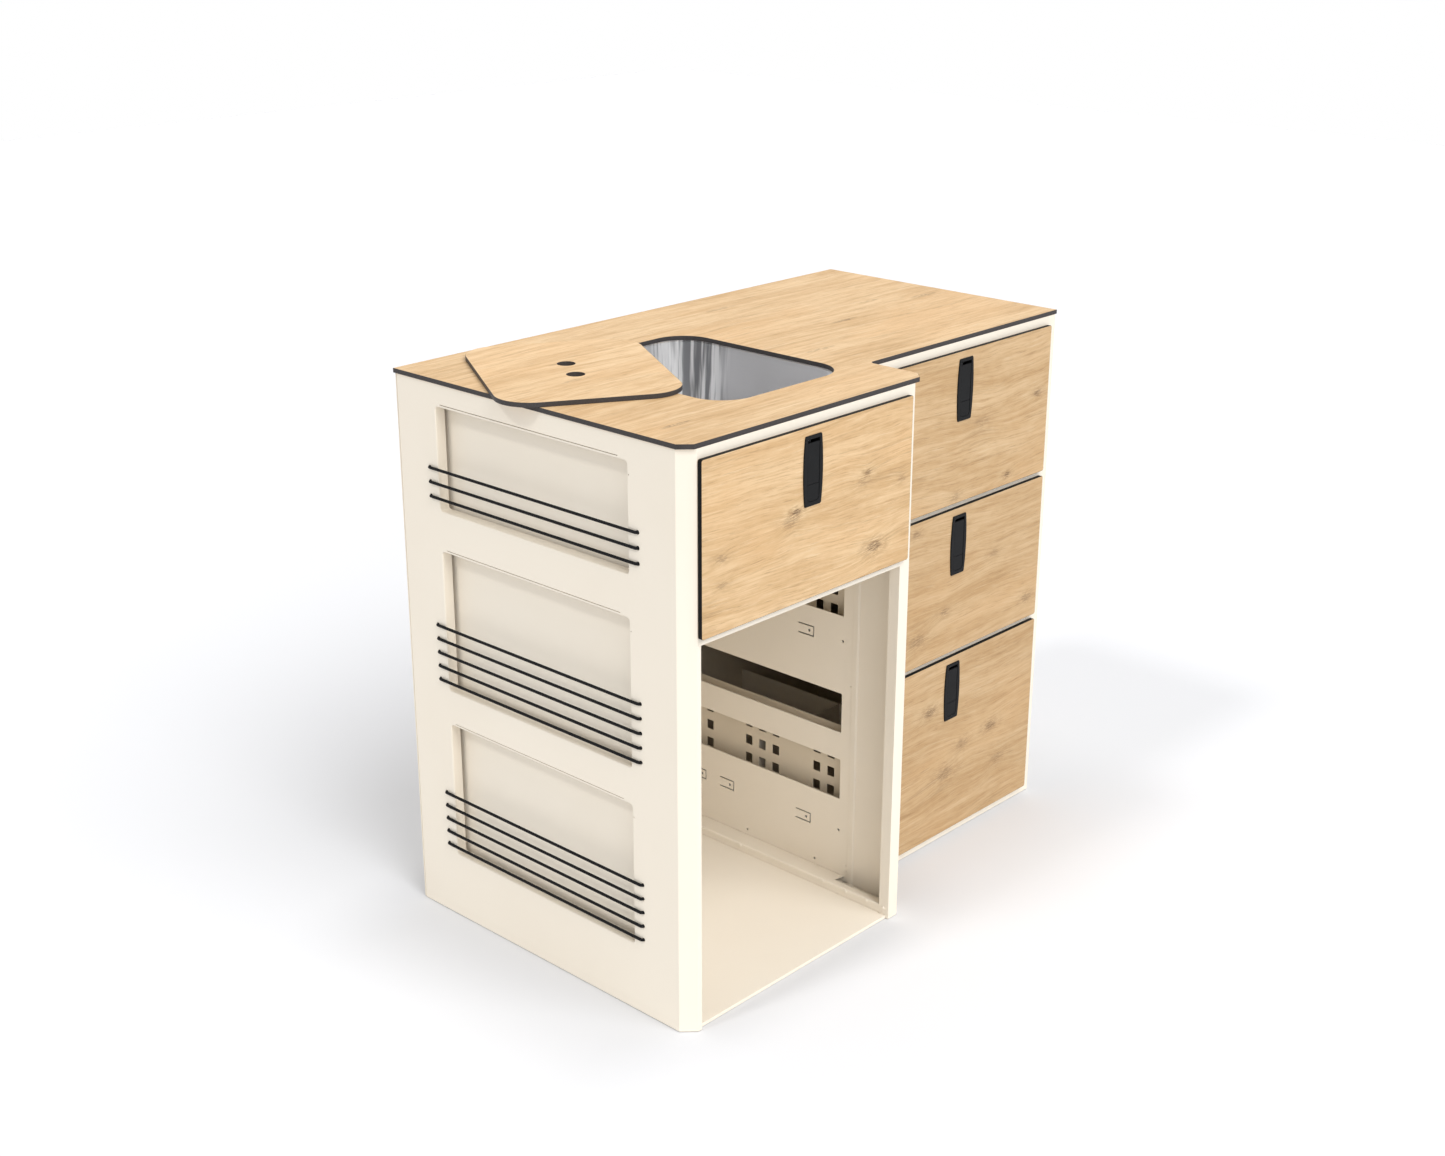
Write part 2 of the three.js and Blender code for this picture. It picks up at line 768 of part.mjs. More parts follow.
// One drawer: front board, perforated box, four runner members and its latch
function drawer(spec) {
  const bay = bays[spec.bay];
  const centre = (bay.low + bay.high) / 2;
  const faceFront = bay.face - frontStandoff - frontThickness;
  const faceBack = bay.face - frontStandoff;
  const latchTop = spec.high - latchDrop;
  const caseSpan = [latchTop - latchHeight + caseInset, latchTop - caseInset];
  const casePass = [grown(about(centre, caseWidth), caseClearance), grown(caseSpan, caseClearance)];

  const frontOutline = rounded(grown([bay.low, bay.high], frontOverlap), [spec.low, spec.high], frontRadius);
  const front = prism("y", [faceFront, faceBack], frontOutline, [rect(...casePass)]);
  piece(`${spec.name}_drawer_front`, front, "oak");

  const runnerOuter = (bay.high - bay.low) / 2 - passGap;
  const halfWidth = runnerOuter - slideReach - seat;
  const boxX = [centre - halfWidth, centre + halfWidth];
  const boxY = [faceBack + seat, faceBack + seat + boxDepth];
  const boxZ = [spec.openingLow + boxLift, spec.openingLow + boxLift + spec.box];
  const inside = [
    grown(boxX, -boxSheet),
    grown(boxY, -boxSheet),
    [boxZ[0] + boxSheet, boxZ[1] + overrun],
  ];
  const notch = block(casePass[0], [faceBack, faceBack + caseDepth], [casePass[1][0], boxZ[1] + latchHeight]);
  const holes = [];
  for (let row = 0; row < spec.rows; row += 1) {
    const z = boxZ[1] - spec.rowDrop - row * holeRowPitch;
    for (let group = 0; group < groupsPerSide; group += 1) {
      for (let column = 0; column < columnsPerGroup; column += 1) {
        const fromCentre = (column - (columnsPerGroup - 1) / 2) * holePitch;
        const y = boxY[0] + firstHoleGroup + group * holeGroupPitch + fromCentre;
        holes.push(block(grown(boxX, overrun), about(y, holeWidth), about(z, holeHeight)));
      }
    }
  }
  piece(`${spec.name}_drawer_box`, cut(block(boxX, boxY, boxZ), block(...inside), notch, ...holes), "grey");
  if (spec.name === "bottom") {
    drawerDivider(inside);
  }

  const runnerZ = about(boxZ[0] + spec.runner, runnerHeight);
  runners(spec.name, bay, centre, halfWidth, runnerZ);
  latch(spec.name, centre, faceFront, latchTop, caseSpan, spec.openingHigh - keeperGap);
}

// Two thin walls crossing in the middle of the box
function drawerDivider([insideX, insideY, insideZ]) {
  const spanX = grown(insideX, -seat);
  const spanY = grown(insideY, -seat);
  const spanZ = [insideZ[0] + seat, insideZ[0] + seat + dividerHeight];
  const midX = (spanX[0] + spanX[1]) / 2;
  const midY = (spanY[0] + spanY[1]) / 2;
  const cross = joined(
    block(about(midX, boxSheet), spanY, spanZ),
    block(spanX, about(midY, boxSheet), spanZ),
  );
  piece("drawer_divider", cross, "cream");
}

// Both sides of a drawer, drawn outwards from the box: the channel on the wall holds the channel on the box
function runners(name, bay, centre, halfWidth, [low, high]) {
  const spanY = [bay.face + runnerSetback, bay.face + runnerSetback + runnerLength];
  const channel = halfWidth + seat + runnerDepth;
  for (const side of [-1, 1]) {
    const wall = side < 0 ? centre - bay.wallLow : bay.wallHigh - centre;
    const fixed = [
      [wall, low],
      [wall, high],
      [channel - channelReach, high],
      [channel - channelReach, high - runnerSheet],
      [channel - runnerSheet, high - runnerSheet],
      [channel - runnerSheet, low + runnerSheet],
      [channel - channelReach, low + runnerSheet],
      [channel - channelReach, low],
    ];
    const bracketHole = rect([channel, wall - runnerSheet], [low + runnerSheet, high - runnerSheet]);
    const innerLow = low + runnerSheet + seat;
    const innerHigh = high - runnerSheet - seat;
    const box = halfWidth + seat;
    const moving = [
      [box, innerLow],
      [box + slideReach, innerLow],
      [box + slideReach, innerLow + runnerSheet],
      [box + runnerSheet, innerLow + runnerSheet],
      [box + runnerSheet, innerHigh - runnerSheet],
      [box + slideReach, innerHigh - runnerSheet],
      [box + slideReach, innerHigh],
      [box, innerHigh],
    ];
    const outwards = (points) => points.map(([a, z]) => [centre + side * a, z]);
    const word = side < 0 ? "left" : "right";
    const fixedSolid = prism("y", spanY, outwards(fixed), [outwards(bracketHole)]);
    piece(`${name}_runner_fixed_${word}`, fixedSolid, "zinc");
    piece(`${name}_runner_moving_${word}`, prism("y", spanY, outwards(moving)), "zinc");
  }
}

// Flush latch: a bezel with its case, a paddle hinged at its lower end, a push button and a sprung bolt
function latch(name, centre, face, top, caseSpan, boltTop) {
  const bezelFront = face - latchProud;
  const bezelBack = face - seat;
  const bottom = top - latchHeight;
  const windowX = about(centre, latchWindowWidth);
  const windowZ = [bottom + latchWindowBottom, top - latchWindowTop];
  const side = (sign) =>
    Array.from({ length: barrelSteps + 1 }, (_, i) => {
      const share = (2 * i) / barrelSteps - 1;
      const half = (latchMiddleWidth - (latchMiddleWidth - latchEndWidth) * share * share) / 2;
      return [centre + sign * half, (top + bottom) / 2 + (sign * share * latchHeight) / 2];
    });
  const plate = prism("y", [bezelFront, bezelBack], [...side(1), ...side(-1)]);
  const caseX = about(centre, caseWidth);
  const caseBack = face + caseDepth;
  const shell = block(caseX, [(bezelFront + bezelBack) / 2, caseBack], caseSpan);
  const hollow = block(grown(caseX, -caseWall), [bezelBack, caseBack - caseWall], grown(caseSpan, -caseWall));
  const mouth = cup(windowX, windowZ, latchWindowRadius);
  const frontPlane = bezelFront + latchRecess;
  const hinge = [frontPlane + paddleThickness / 2, top - paddleSplit + paddleThickness / 2];
  const paddleX = grown(windowX, -paddleGap);
  const pinX = grown(paddleX, pinReach);
  const boltX = about(centre, boltWidth);
  const boltY = [face + boltSetback, face + boltSetback + boltThickness];
  const bezel = cut(
    joined(plate, shell),
    hollow,
    prism("y", [bezelFront - overrun, face], mouth),
    prism("x", grown(pinX, seat), circle(hinge, pinRadius + seat, smallRoundSteps)),
    block(grown(boltX, seat), grown(boltY, seat), grown([caseSpan[1] - caseWall, caseSpan[1]], seat)),
  );
  piece(`${name}_latch_bezel`, bezel, "black");

  const paddle = [
    ...arc(hinge, paddleThickness / 2, 1 / 2, 1, 2 * cornerSteps),
    [frontPlane + paddleThickness, windowZ[1] - fingerSlot],
    [frontPlane, windowZ[1] - fingerSlot],
  ];
  const pin = prism("x", pinX, circle(hinge, pinRadius, smallRoundSteps));
  piece(`${name}_latch_paddle`, joined(prism("x", paddleX, paddle), pin), "black");

  const buttonZ = [windowZ[0] + paddleGap, top - paddleSplit - splitGap];
  const button = cup(paddleX, buttonZ, latchWindowRadius - paddleGap);
  const stemY = [frontPlane, frontPlane + buttonThickness + stemLength];
  const stem = block(about(centre, stemWidth), stemY, about((buttonZ[0] + buttonZ[1]) / 2, stemWidth));
  const buttonPlate = prism("y", [frontPlane, frontPlane + buttonThickness], button);
  piece(`${name}_latch_button`, joined(buttonPlate, stem), "black");

  const bolt = [
    [boltY[0], boltTop - boltLength],
    [boltY[1], boltTop - boltLength],
    [boltY[1], boltTop - boltSlopeRise],
    [boltY[1] - boltSlope, boltTop],
    [boltY[0], boltTop],
  ];
  piece(`${name}_latch_bolt`, prism("x", boltX, bolt), "zinc");
}

worktop();
sinkLid();
sinkBowl();
leftSide();
leftFrame();
rightFrame();
rightSide();
backPanel();
floorPlate();
partition();
footRail();
drawers.forEach(drawer);

// The origin lies on the floor under the middle of the worktop.
pod.position.set(-worktopWidth / 2, -worktopDepth / 2, 0);

export default pod;
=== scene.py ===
"""Campervan kitchen pod: folded steel body, board worktop, sink, laced niches and four drawers.

Sizes below are millimetres from the worktop's left edge (x), its front edge (y) and the floor (z).
"""

import json
import math

import bmesh
import bpy
import numpy as np
from mathutils import Matrix, Vector
from mathutils.geometry import delaunay_2d_cdt

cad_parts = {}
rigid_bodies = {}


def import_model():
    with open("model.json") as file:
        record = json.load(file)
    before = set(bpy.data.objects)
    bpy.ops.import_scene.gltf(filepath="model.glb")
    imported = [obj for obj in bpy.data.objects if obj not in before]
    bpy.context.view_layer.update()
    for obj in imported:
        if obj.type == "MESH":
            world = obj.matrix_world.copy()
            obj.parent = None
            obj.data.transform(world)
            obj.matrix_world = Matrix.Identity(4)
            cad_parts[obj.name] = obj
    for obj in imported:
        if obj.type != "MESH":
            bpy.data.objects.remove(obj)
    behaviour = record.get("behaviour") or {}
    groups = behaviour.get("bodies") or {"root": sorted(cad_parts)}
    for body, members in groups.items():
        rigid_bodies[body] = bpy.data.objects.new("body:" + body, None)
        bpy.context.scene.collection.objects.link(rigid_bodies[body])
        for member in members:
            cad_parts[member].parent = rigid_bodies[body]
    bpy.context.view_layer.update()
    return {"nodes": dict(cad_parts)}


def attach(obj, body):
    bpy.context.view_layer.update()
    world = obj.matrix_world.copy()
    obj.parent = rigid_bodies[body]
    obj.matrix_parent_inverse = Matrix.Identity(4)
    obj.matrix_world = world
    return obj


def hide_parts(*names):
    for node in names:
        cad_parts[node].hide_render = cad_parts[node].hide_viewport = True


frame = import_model()

MM = 0.001
ORIGIN = (500.35, 299.45, 0.0)

# Worktop
TOP_WIDTH, TOP_DEPTH, TOP_HEIGHT, BOARD = 1000.7, 598.9, 882.0, 7.0
LEFT_BAY, SETBACK, TOP_CHAMFER, NOTCH = 507.2, 107.8, 17.2, 9.0
BOARD_EDGE = 0.45

# Folded body
SHEET, SEAT, BEND, SHEET_EDGE = 1.5, 0.3, 0.6, 0.3
BODY_LEFT, BODY_RIGHT, BODY_BACK = 2.0, 998.0, 597.0
WALL_RIGHT = 500.0
WALL_LEFT = WALL_RIGHT - SHEET
LAP_FACE = WALL_LEFT - SEAT - SHEET - SEAT
UNDERSIDE = TOP_HEIGHT - BOARD
BODY_TOP = UNDERSIDE - SEAT
CHAMFER, POST_RETURN, REAR_RETURN, RAIL_RETURN = 20.0, 19.0, 25.0, 18.0
INNER_BACK = BODY_BACK - SHEET - SEAT
SKIN_INSIDE = BODY_LEFT + SHEET + SEAT
FASCIA_LOW = 853.0
LAP_JOGGLE, LAP_OVERLAP, FLANGE_LAP = 1.8, 9.2, 19.2
FLOOR, FLOOR_SETBACK = 5.0, 5.0
BAYS = {
    "left": {"face": 0.0, "low": 30.0, "high": 458.0, "wall_low": 3.8, "wall_high": LAP_FACE},
    "right": {"face": SETBACK, "low": 512.0, "high": 968.0, "wall_low": 500.3, "wall_high": 996.2},
}

# Sink and its lid
SINK_X, SINK_Y, SINK_RADIUS = (184.0, 455.0), (104.0, 446.0), 55.0
BOWL_REVEAL, BOWL_FLANGE, BOWL_WALL, BOWL_DEPTH = 2.5, 14.0, 1.2, 130.0
BOWL_TAPER, BOWL_FLOOR_RADIUS, DRAIN_RADIUS = 6.0, 28.0, 26.0
BOWL_FLOOR_FALL = 3.0
LID_CENTRE, LID_TURN, LID_GAP = (156.5, 382.5), 59.4, 1.0
FINGER_HOLE, FINGER_SPACING = 13.5, 65.0

# Niches: lowest and highest edge, first cord above the lowest edge, number of cords
NICHE_Y, NICHE_RADIUS, NICHE_RING = (110.0, 507.5), 5.0, 17.5
NICHES = {
    "top": (680.0, 840.0, 20.1, 3),
    "middle": (391.0, 616.0, 14.4, 5),
    "bottom": (109.5, 333.0, 13.5, 5),
}
TRAY_MARGIN, TRAY_DEPTH, TRAY_CORNER = 12.0, 23.3, 2.6
SLIT, SLIT_RISE, SLIT_Y = 1.2, 2.5, (127.0, 497.0)
CORD_RADIUS, CORD_PITCH, CORD_HOLE, CORD_MARGIN = 2.25, 22.3, 3.1, 19.0
KNOT_REACH, KNOT_SIZE, LACE_SIDES = 9.0, 1.5, 14
NICHE_PIN, NICHE_PIN_Y, NICHE_PIN_DROP = 1.0, 106.7, 18.4

# Wall between the bays and the rail at its foot
WINDOW_Y, WINDOW_RADIUS = (138.5, 565.5), 1.5
WINDOWS = [(150.5, 221.0), (268.5, 336.5), (469.0, 539.5)]
TAB_LENGTH, TAB_WIDTH, TAB_SLOT, TAB_HOLE, TAB_INSET = 33.0, 18.5, 2.2, 2.5, 10.0
TAB_FRONTS, TAB_HEIGHTS = (199.0, 371.5, 437.0), (94.5, 426.8)
PILOT = 2.2
PILOT_HOLES = [(139.0, 94.5), (139.0, 426.8), (189.0, 24.0), (340.0, 24.0)]
PIN_HOLE = 1.2
PIN_HOLES = [(120.5, 354.2), (121.2, 34.2), (120.9, 25.0)]
LAP_SHADOW = 1.4
RAIL_HEIGHT, RAIL_WALL_HEIGHT, RAIL_CUT, RAIL_CUT_BACK = 20.0, 14.0, 24.0, 125.0
RIVET_RADIUS, RIVET_HEIGHT, RIVET_Z = 3.0, 1.7, 16.2
RIVETS = [45.5, 88.1, 136.0, 319.0, 440.0, 560.0]
POST_RIVET = 10.5
FLOOR_HOLE_X, FLOOR_HOLE_Y = (LAP_FACE - 17.0, LAP_FACE - 3.0), (98.0, 126.0)

# Drawers
FRONT_RADIUS, FRONT_OVERLAP, FRONT_GAP, FRONT_STANDOFF = 3.5, 8.0, 9.3, 1.0
BOX_SHEET, BOX_DEPTH, BOX_LIFT = 1.2, 468.0, 4.4
HOLE_WIDTH, HOLE_HEIGHT, HOLE_RADIUS = 15.0, 17.0, 1.2
HOLE_PITCH, HOLE_ROW_PITCH, GROUP_PITCH, FIRST_GROUP = 30.2, 33.0, 150.9, 69.7
GROUP_COLUMNS, GROUPS = 3, 3
DIVIDER_HEIGHT = 150.0

# Name, bay, heights of front and box, runner above the box's foot, rows of holes, drop to the highest row
DRAWERS = [
    dict(zip(("name", "bay", "height", "box", "runner", "rows", "drop"), values))
    for values in (
        ("sink", "left", 251.2, 68.0, 25.8, 1, 34.0),
        ("top", "right", 251.2, 193.3, 65.5, 3, 56.0),
        ("middle", "right", 251.2, 193.3, 65.5, 3, 56.0),
        ("bottom", "right", 324.0, 240.0, 65.5, 3, 56.0),
    )
]
RUNNER_HEIGHT, RUNNER_DEPTH, RUNNER_SHEET, RUNNER_LENGTH = 36.0, 12.3, 1.2, 450.0
RUNNER_SETBACK, CHANNEL_REACH, SLIDE_REACH, PASS_GAP = 20.5, 9.6, 8.3, 0.6
RUNNER_BEND, BRACKET_SHARES, BRACKET_LENGTH, BRACKET_INSET = 0.5, (0.04, 0.46, 0.88), 28.0, (4.0, 5.2)

# Latches
LATCH_DROP, LATCH_HEIGHT, LATCH_END, LATCH_MIDDLE, LATCH_PROUD = 12.0, 102.0, 34.5, 41.0, 2.0
LATCH_CORNER, LATCH_ROUND = 2.5, 1.1
WINDOW_WIDTH, WINDOW_TOP, WINDOW_BOTTOM, MOUTH_RADIUS = 25.6, 5.5, 6.5, 6.4
LATCH_RECESS, CASE_WIDTH, CASE_WALL, CASE_INSET, CASE_DEPTH, CASE_CLEARANCE = 0.4, 30.0, 1.5, 4.5, 27.0, 0.5
FINGER_SLOT, PADDLE_SPLIT, PADDLE_THICKNESS, PADDLE_GAP, SPLIT_GAP = 5.3, 70.2, 3.0, 0.4, 0.5
BUTTON_THICKNESS, STEM_WIDTH, STEM_LENGTH, CASE_CORNER = 4.0, 8.0, 10.0, 2.2

# Steps in a quarter turn, for small and for wide rounds
ARC = 6
WIDE_ARC = 16


# Finishes


def tone(red, green, blue):
    """A colour as it is read off a screen, made linear."""
    parts = [c / 255 for c in (red, green, blue)]
    return (*[c / 12.92 if c <= 0.04045 else ((c + 0.055) / 1.055) ** 2.4 for c in parts], 1.0)


class Term:
    """An output socket that takes part in sums."""

    def __init__(self, tree, socket):
        self.tree, self.socket = tree, socket

    def sum(self, operation, *values):
        return self.tree.node("ShaderNodeMath", {"operation": operation}, dict(enumerate(values)))

    def __add__(self, other):
        return self.sum("ADD", self, other)

    def __sub__(self, other):
        return self.sum("SUBTRACT", self, other)

    def __rsub__(self, other):
        return self.sum("SUBTRACT", other, self)

    def __mul__(self, other):
        return self.sum("MULTIPLY", self, other)

    def __truediv__(self, other):
        return self.sum("DIVIDE", self, other)

    def __rtruediv__(self, other):
        return self.sum("DIVIDE", other, self)

    __radd__, __rmul__ = __add__, __mul__


class Tree:
    """A node tree that is written with one call for each node."""

    def __init__(self, nodes):
        self.nodes = nodes
        nodes.nodes.clear()

    def node(self, kind, settings=None, values=None, output=0):
        made = self.nodes.nodes.new(kind)
        for key, value in (settings or {}).items():
            if key == "stops":
                ramp = made.color_ramp.elements
                while len(ramp) < len(value):
                    ramp.new(0.5)
                for element, (position, colour) in zip(ramp, value):
                    element.position, element.color = position, colour
            else:
                setattr(made, key, value)
        for key, value in (values or {}).items():
            socket = made.inputs[key]
            if isinstance(value, Term):
                self.nodes.links.new(value.socket, socket)
            else:
                socket.default_value = value
        return Term(self, made.outputs[output]) if len(made.outputs) else made

    def step(self, value, low, high):
        """0 below low, 1 above high, and a soft slope between them."""
        settings = {"interpolation_type": "SMOOTHSTEP"}
        return self.node("ShaderNodeMapRange", settings, {"Value": value, "From Min": low, "From Max": high})

    def mix(self, factor, first, second):
        """Between two colours. Sockets 6 and 7 are the node's colours, and output 2 its result."""
        settings = {"data_type": "RGBA"}
        return self.node("ShaderNodeMix", settings, {0: factor, 6: first, 7: second}, output=2)

    def noise(self, place, scale=1.0, detail=2.0, roughness=0.5):
        values = {"Vector": place, "Scale": scale, "Detail": detail, "Roughness": roughness}
        return self.node("ShaderNodeTexNoise", {"normalize": True}, values)

    def vector(self, x, y=0.0, z=0.0):
        return self.node("ShaderNodeCombineXYZ", values={0: x, 1: y, 2: z})


class Finish(Tree):
    """A material on object coordinates, in metres."""

    def __init__(self, name):
        self.material = bpy.data.materials.new(name)
        self.material.use_nodes = True
        super().__init__(self.material.node_tree)
        coordinates = self.node("ShaderNodeTexCoord", output="Object")
        self.place = coordinates
        split = self.node("ShaderNodeSeparateXYZ", values={0: coordinates})
        self.x, self.y, self.z = (Term(self, socket) for socket in split.socket.node.outputs)

    def bump(self, height, distance, strength=1.0):
        values = {"Height": height, "Distance": distance, "Strength": strength}
        return self.node("ShaderNodeBump", values=values)

    def surface(self, **values):
        names = {key.replace("_", " "): value for key, value in values.items()}
        shader = self.node("ShaderNodeBsdfPrincipled", values=names)
        self.node("ShaderNodeOutputMaterial", values={"Surface": shader})
        return self.material


def powder_coat(name, colour, shade, roughness=0.42):
    """Fine orange peel over faint clouds of colour."""
    skin = Finish(name)
    peel = skin.noise(skin.place, 620.0, 2.0)
    fine = skin.noise(skin.place, 2300.0, 1.0)
    cloud = skin.noise(skin.place, 5.0, 3.0)
    grain = skin.mix(skin.step(fine, 0.42, 0.75) * 0.5 + skin.step(cloud, 0.35, 0.7) * 0.5, colour, shade)
    return skin.surface(
        Base_Color=grain,
        Roughness=peel * 0.16 + (roughness - 0.08),
        Normal=skin.bump(peel * 0.7 + fine * 0.3, 0.00012, 0.35),
    )


def oak(name, across, seed, knots, flecks=(), deeper=0.0):
    """Light oak decor with its grain along x.

    Knots are (x, across, size, depth of colour) and flecks (x, across, length, width, depth), in metres.
    """
    wood = Finish(name)
    u, v = wood.x, {"y": wood.y, "z": wood.z}[across]

    def grain(line, fine_along, fine_across, offset, detail, roughness=0.5):
        """Noise drawn out along the board. offset sets it apart from the other noises."""
        place = wood.vector(u * fine_along, line * fine_across, seed + offset)
        return wood.noise(place, 1.0, detail, roughness)

    wander = grain(v, 2.1, 4.5, 0.0, 2.0) - 0.5
    ripple = grain(v, 11.0, 24.0, 0.6, 2.0) - 0.5
    flow = v + wander * 0.05 + ripple * 0.008
    halo, heart, pale = u * 0.0, u * 0.0, u * 0.0
    for knot_u, knot_v, size, depth in knots:
        along, aside = (u - knot_u) / (size * 2.0), (v - knot_v) / size
        spread = along * along + aside * aside
        flow = flow + aside * (size * 1.3) / (spread + 1.0)
        halo = halo + wood.step(spread, 4.0, 0.1) * (depth * 0.7)
        heart = heart + wood.step(spread, 0.8, 0.02) * depth
        pale = pale + wood.step(spread, 9.0, 2.0) * (depth * 0.6)

    bands = grain(flow, 3.4, 24.0, 3.1, 4.0, 0.62)
    rings = grain(flow, 5.0, 115.0, 1.7, 4.0, 0.7)
    fibres = grain(flow, 15.0, 430.0, 5.2, 4.0, 0.72)
    pores = grain(flow, 34.0, 1000.0, 9.4, 3.0, 0.6)
    flame = grain(flow, 5.0, 75.0, 2.9, 5.0, 0.75)
    mottle = grain(v, 34.0, 60.0, 7.7, 3.0, 0.6)
    warm = grain(v, 3.0, 8.0, 4.4, 3.0)
    ragged = grain(flow, 75.0, 330.0, 6.5, 4.0, 0.75)

    # Each layer is mixed over the ones before it by its share
    pore_field = wood.step(pores, 0.57, 0.68) * wood.step(rings, 0.62, 0.4)
    layers = [
        (wood.step(bands * 0.45 + rings * 0.4 + mottle * 0.15, 0.38, 0.63), (237, 205, 162)),
        (wood.step(warm, 0.46, 0.7) * 0.5, (235, 195, 146)),
        (wood.step(flame, 0.55, 0.7) * 0.55, (178, 145, 104)),
        (wood.step(fibres, 0.5, 0.76) * 0.6, (181, 142, 98)),
        (wood.step(fibres, 0.48, 0.24) * 0.5, (250, 230, 196)),
        (pore_field * 0.5, (144, 110, 74)),
    ]
    if knots:
        layers += [
            (pale * wood.step(ragged, 0.7, 0.3) * 0.6, (248, 224, 182)),
            (halo * wood.step(ragged, 0.38, 0.6), (160, 126, 90)),
            (heart * wood.step(ragged, 0.36, 0.58), (96, 74, 58)),
        ]
    for fleck_u, fleck_v, length, width, depth in flecks:
        along, aside = (u - fleck_u) / length, (v - fleck_v) / width
        fleck = wood.step(along * along + aside * aside, 1.0, 0.1) * wood.step(ragged, 0.4, 0.62)
        layers.append((fleck * depth, (104, 80, 56)))
    if deeper:
        layers.append((deeper, (120, 92, 60)))
    ground = tone(211, 174, 127)
    for share, colour in layers:
        ground = wood.mix(share, ground, tone(*colour))
    return wood.surface(
        Base_Color=ground,
        Roughness=fibres * 0.12 + 0.5,
        Specular_IOR_Level=0.2,
        Normal=wood.bump(fibres * 0.6 + pores * 0.4, 0.00006, 0.3),
    )


def board_core(name, colour, roughness):
    """The solid black core that shows at a board's cut edges, with fine saw marks along its layers."""
    core = Finish(name)
    marks = core.noise(core.vector(core.x * 700.0, core.y * 700.0, core.z * 700.0), 1.0, 2.0)
    layers = core.noise(core.vector(core.x * 12.0, core.y * 12.0, core.z * 1800.0), 1.0, 2.0)
    lighter = tuple(min(1.0, c * 1.5 + 0.004) for c in colour[:3]) + (1.0,)
    return core.surface(
        Specular_IOR_Level=0.12,
        Base_Color=core.mix(core.step(marks, 0.4, 0.75) * 0.6, colour, lighter),
        Roughness=marks * 0.15 + roughness,
        Normal=core.bump(marks * 0.5 + layers * 0.5, 0.00006, 0.3),
    )


def pressed_steel(name, dark, light, wall):
    """Brushed steel of a deep bowl, with painted reflections as pale upright streaks in its two right-hand
    corners, and painted shade down towards its floor.

    wall is where the bowl's right, front and back walls are, in metres.
    """
    metal = Finish(name)
    x, y, z = metal.x, metal.y, metal.z
    brush = metal.noise(metal.vector(x * 14.0, y * 14.0, z * 700.0), 1.0, 2.0)
    # Streaks of painted reflection for the bowl's right-hand corners
    reflection_bars = metal.noise(metal.vector(x * 62.0, y * 62.0, z * 0.8), 1.0, 3.0, 0.6)
    right, front, back = wall
    # Where the painted reflections lie: the back-right corner, and the front-right corner at a lesser share
    place = metal.step(y, back - 0.11, back - 0.06) + metal.step(y, front + 0.05, front + 0.02) * 0.6
    place = place * metal.step(x, right - 0.085, right - 0.04)
    cloud = metal.noise(metal.vector(x * 7.0, y * 7.0, z * 9.0), 1.0, 2.0)
    plain = metal.mix(cloud * 0.7 + brush * 0.2, dark, light)
    # Painted shade: darker down towards the bowl's floor
    plain = metal.mix(metal.step(z, 0.82, 0.76) * 0.35, plain, tone(120, 120, 123))
    # Darker towards the back of the bowl
    plain = metal.mix(metal.step(y, front, back - 0.05) * 0.2, plain, tone(120, 120, 123))
    # The painted reflections, grey to white along the streaks
    painted_reflection = metal.mix(metal.step(reflection_bars, 0.43, 0.57), tone(146, 147, 150), tone(255, 255, 255))
    return metal.surface(
        Base_Color=metal.mix(place, plain, painted_reflection),
        Metallic=metal.step(reflection_bars, 0.2, 0.8) * -0.1 + 0.75,
        Roughness=brush * 0.04 + 0.28,
    )


def plated_steel(name, colour, roughness, along, finest):
    """Zinc plate with fine lines. Scales along x, y and z set which way they run."""
    metal = Finish(name)
    brush = metal.noise(metal.vector(*(c * s for c, s in zip((metal.x, metal.y, metal.z), along))), 1.0, 3.0)
    cloud = metal.noise(metal.place, finest, 2.0)
    lighter = tuple(min(1.0, c * 1.12) for c in colour[:3]) + (1.0,)
    return metal.surface(
        Base_Color=metal.mix(brush, colour, lighter),
        Metallic=1.0,
        Roughness=brush * 0.14 + cloud * 0.06 + (roughness - 0.1),
        Normal=metal.bump(brush, 0.00003, 0.3),
    )


def satin_plastic(name, colour, lighter, roughness):
    """Moulded plastic with a fine spark-eroded grain."""
    plastic = Finish(name)
    grain = plastic.noise(plastic.place, 1700.0, 2.0)
    cloud = plastic.noise(plastic.place, 40.0, 2.0)
    return plastic.surface(
        Specular_IOR_Level=0.2,
        Base_Color=plastic.mix(plastic.step(cloud, 0.3, 0.8), colour, lighter),
        Roughness=grain * 0.16 + (roughness - 0.08),
        Normal=plastic.bump(grain, 0.00005, 0.4),
    )


def braided_cover(name, colour, lighter):
    """Two families of strands that wind round the cord. Attributes hold the way along and round it."""
    braid = Finish(name)
    along = braid.node("ShaderNodeAttribute", {"attribute_name": "lace_along"}, output="Fac")
    around = braid.node("ShaderNodeAttribute", {"attribute_name": "lace_round"}, output="Fac")
    strands, lay = 6, 0.0042
    turns = [around * (strands * 2 * math.pi) + along * (sign * 2 * math.pi / lay) for sign in (1.0, -1.0)]
    waves = [turn.sum("SINE", turn) for turn in turns]
    weave = waves[0].sum("MAXIMUM", waves[0], waves[1])
    fuzz = braid.noise(braid.place, 2600.0, 2.0)
    height = weave * 0.5 + fuzz * 0.2
    return braid.surface(
        Specular_IOR_Level=0.15,
        Base_Color=braid.mix(braid.step(height, 0.0, 0.7), colour, lighter),
        Roughness=fuzz * 0.2 + 0.6,
        Normal=braid.bump(height, 0.00025, 0.6),
    )


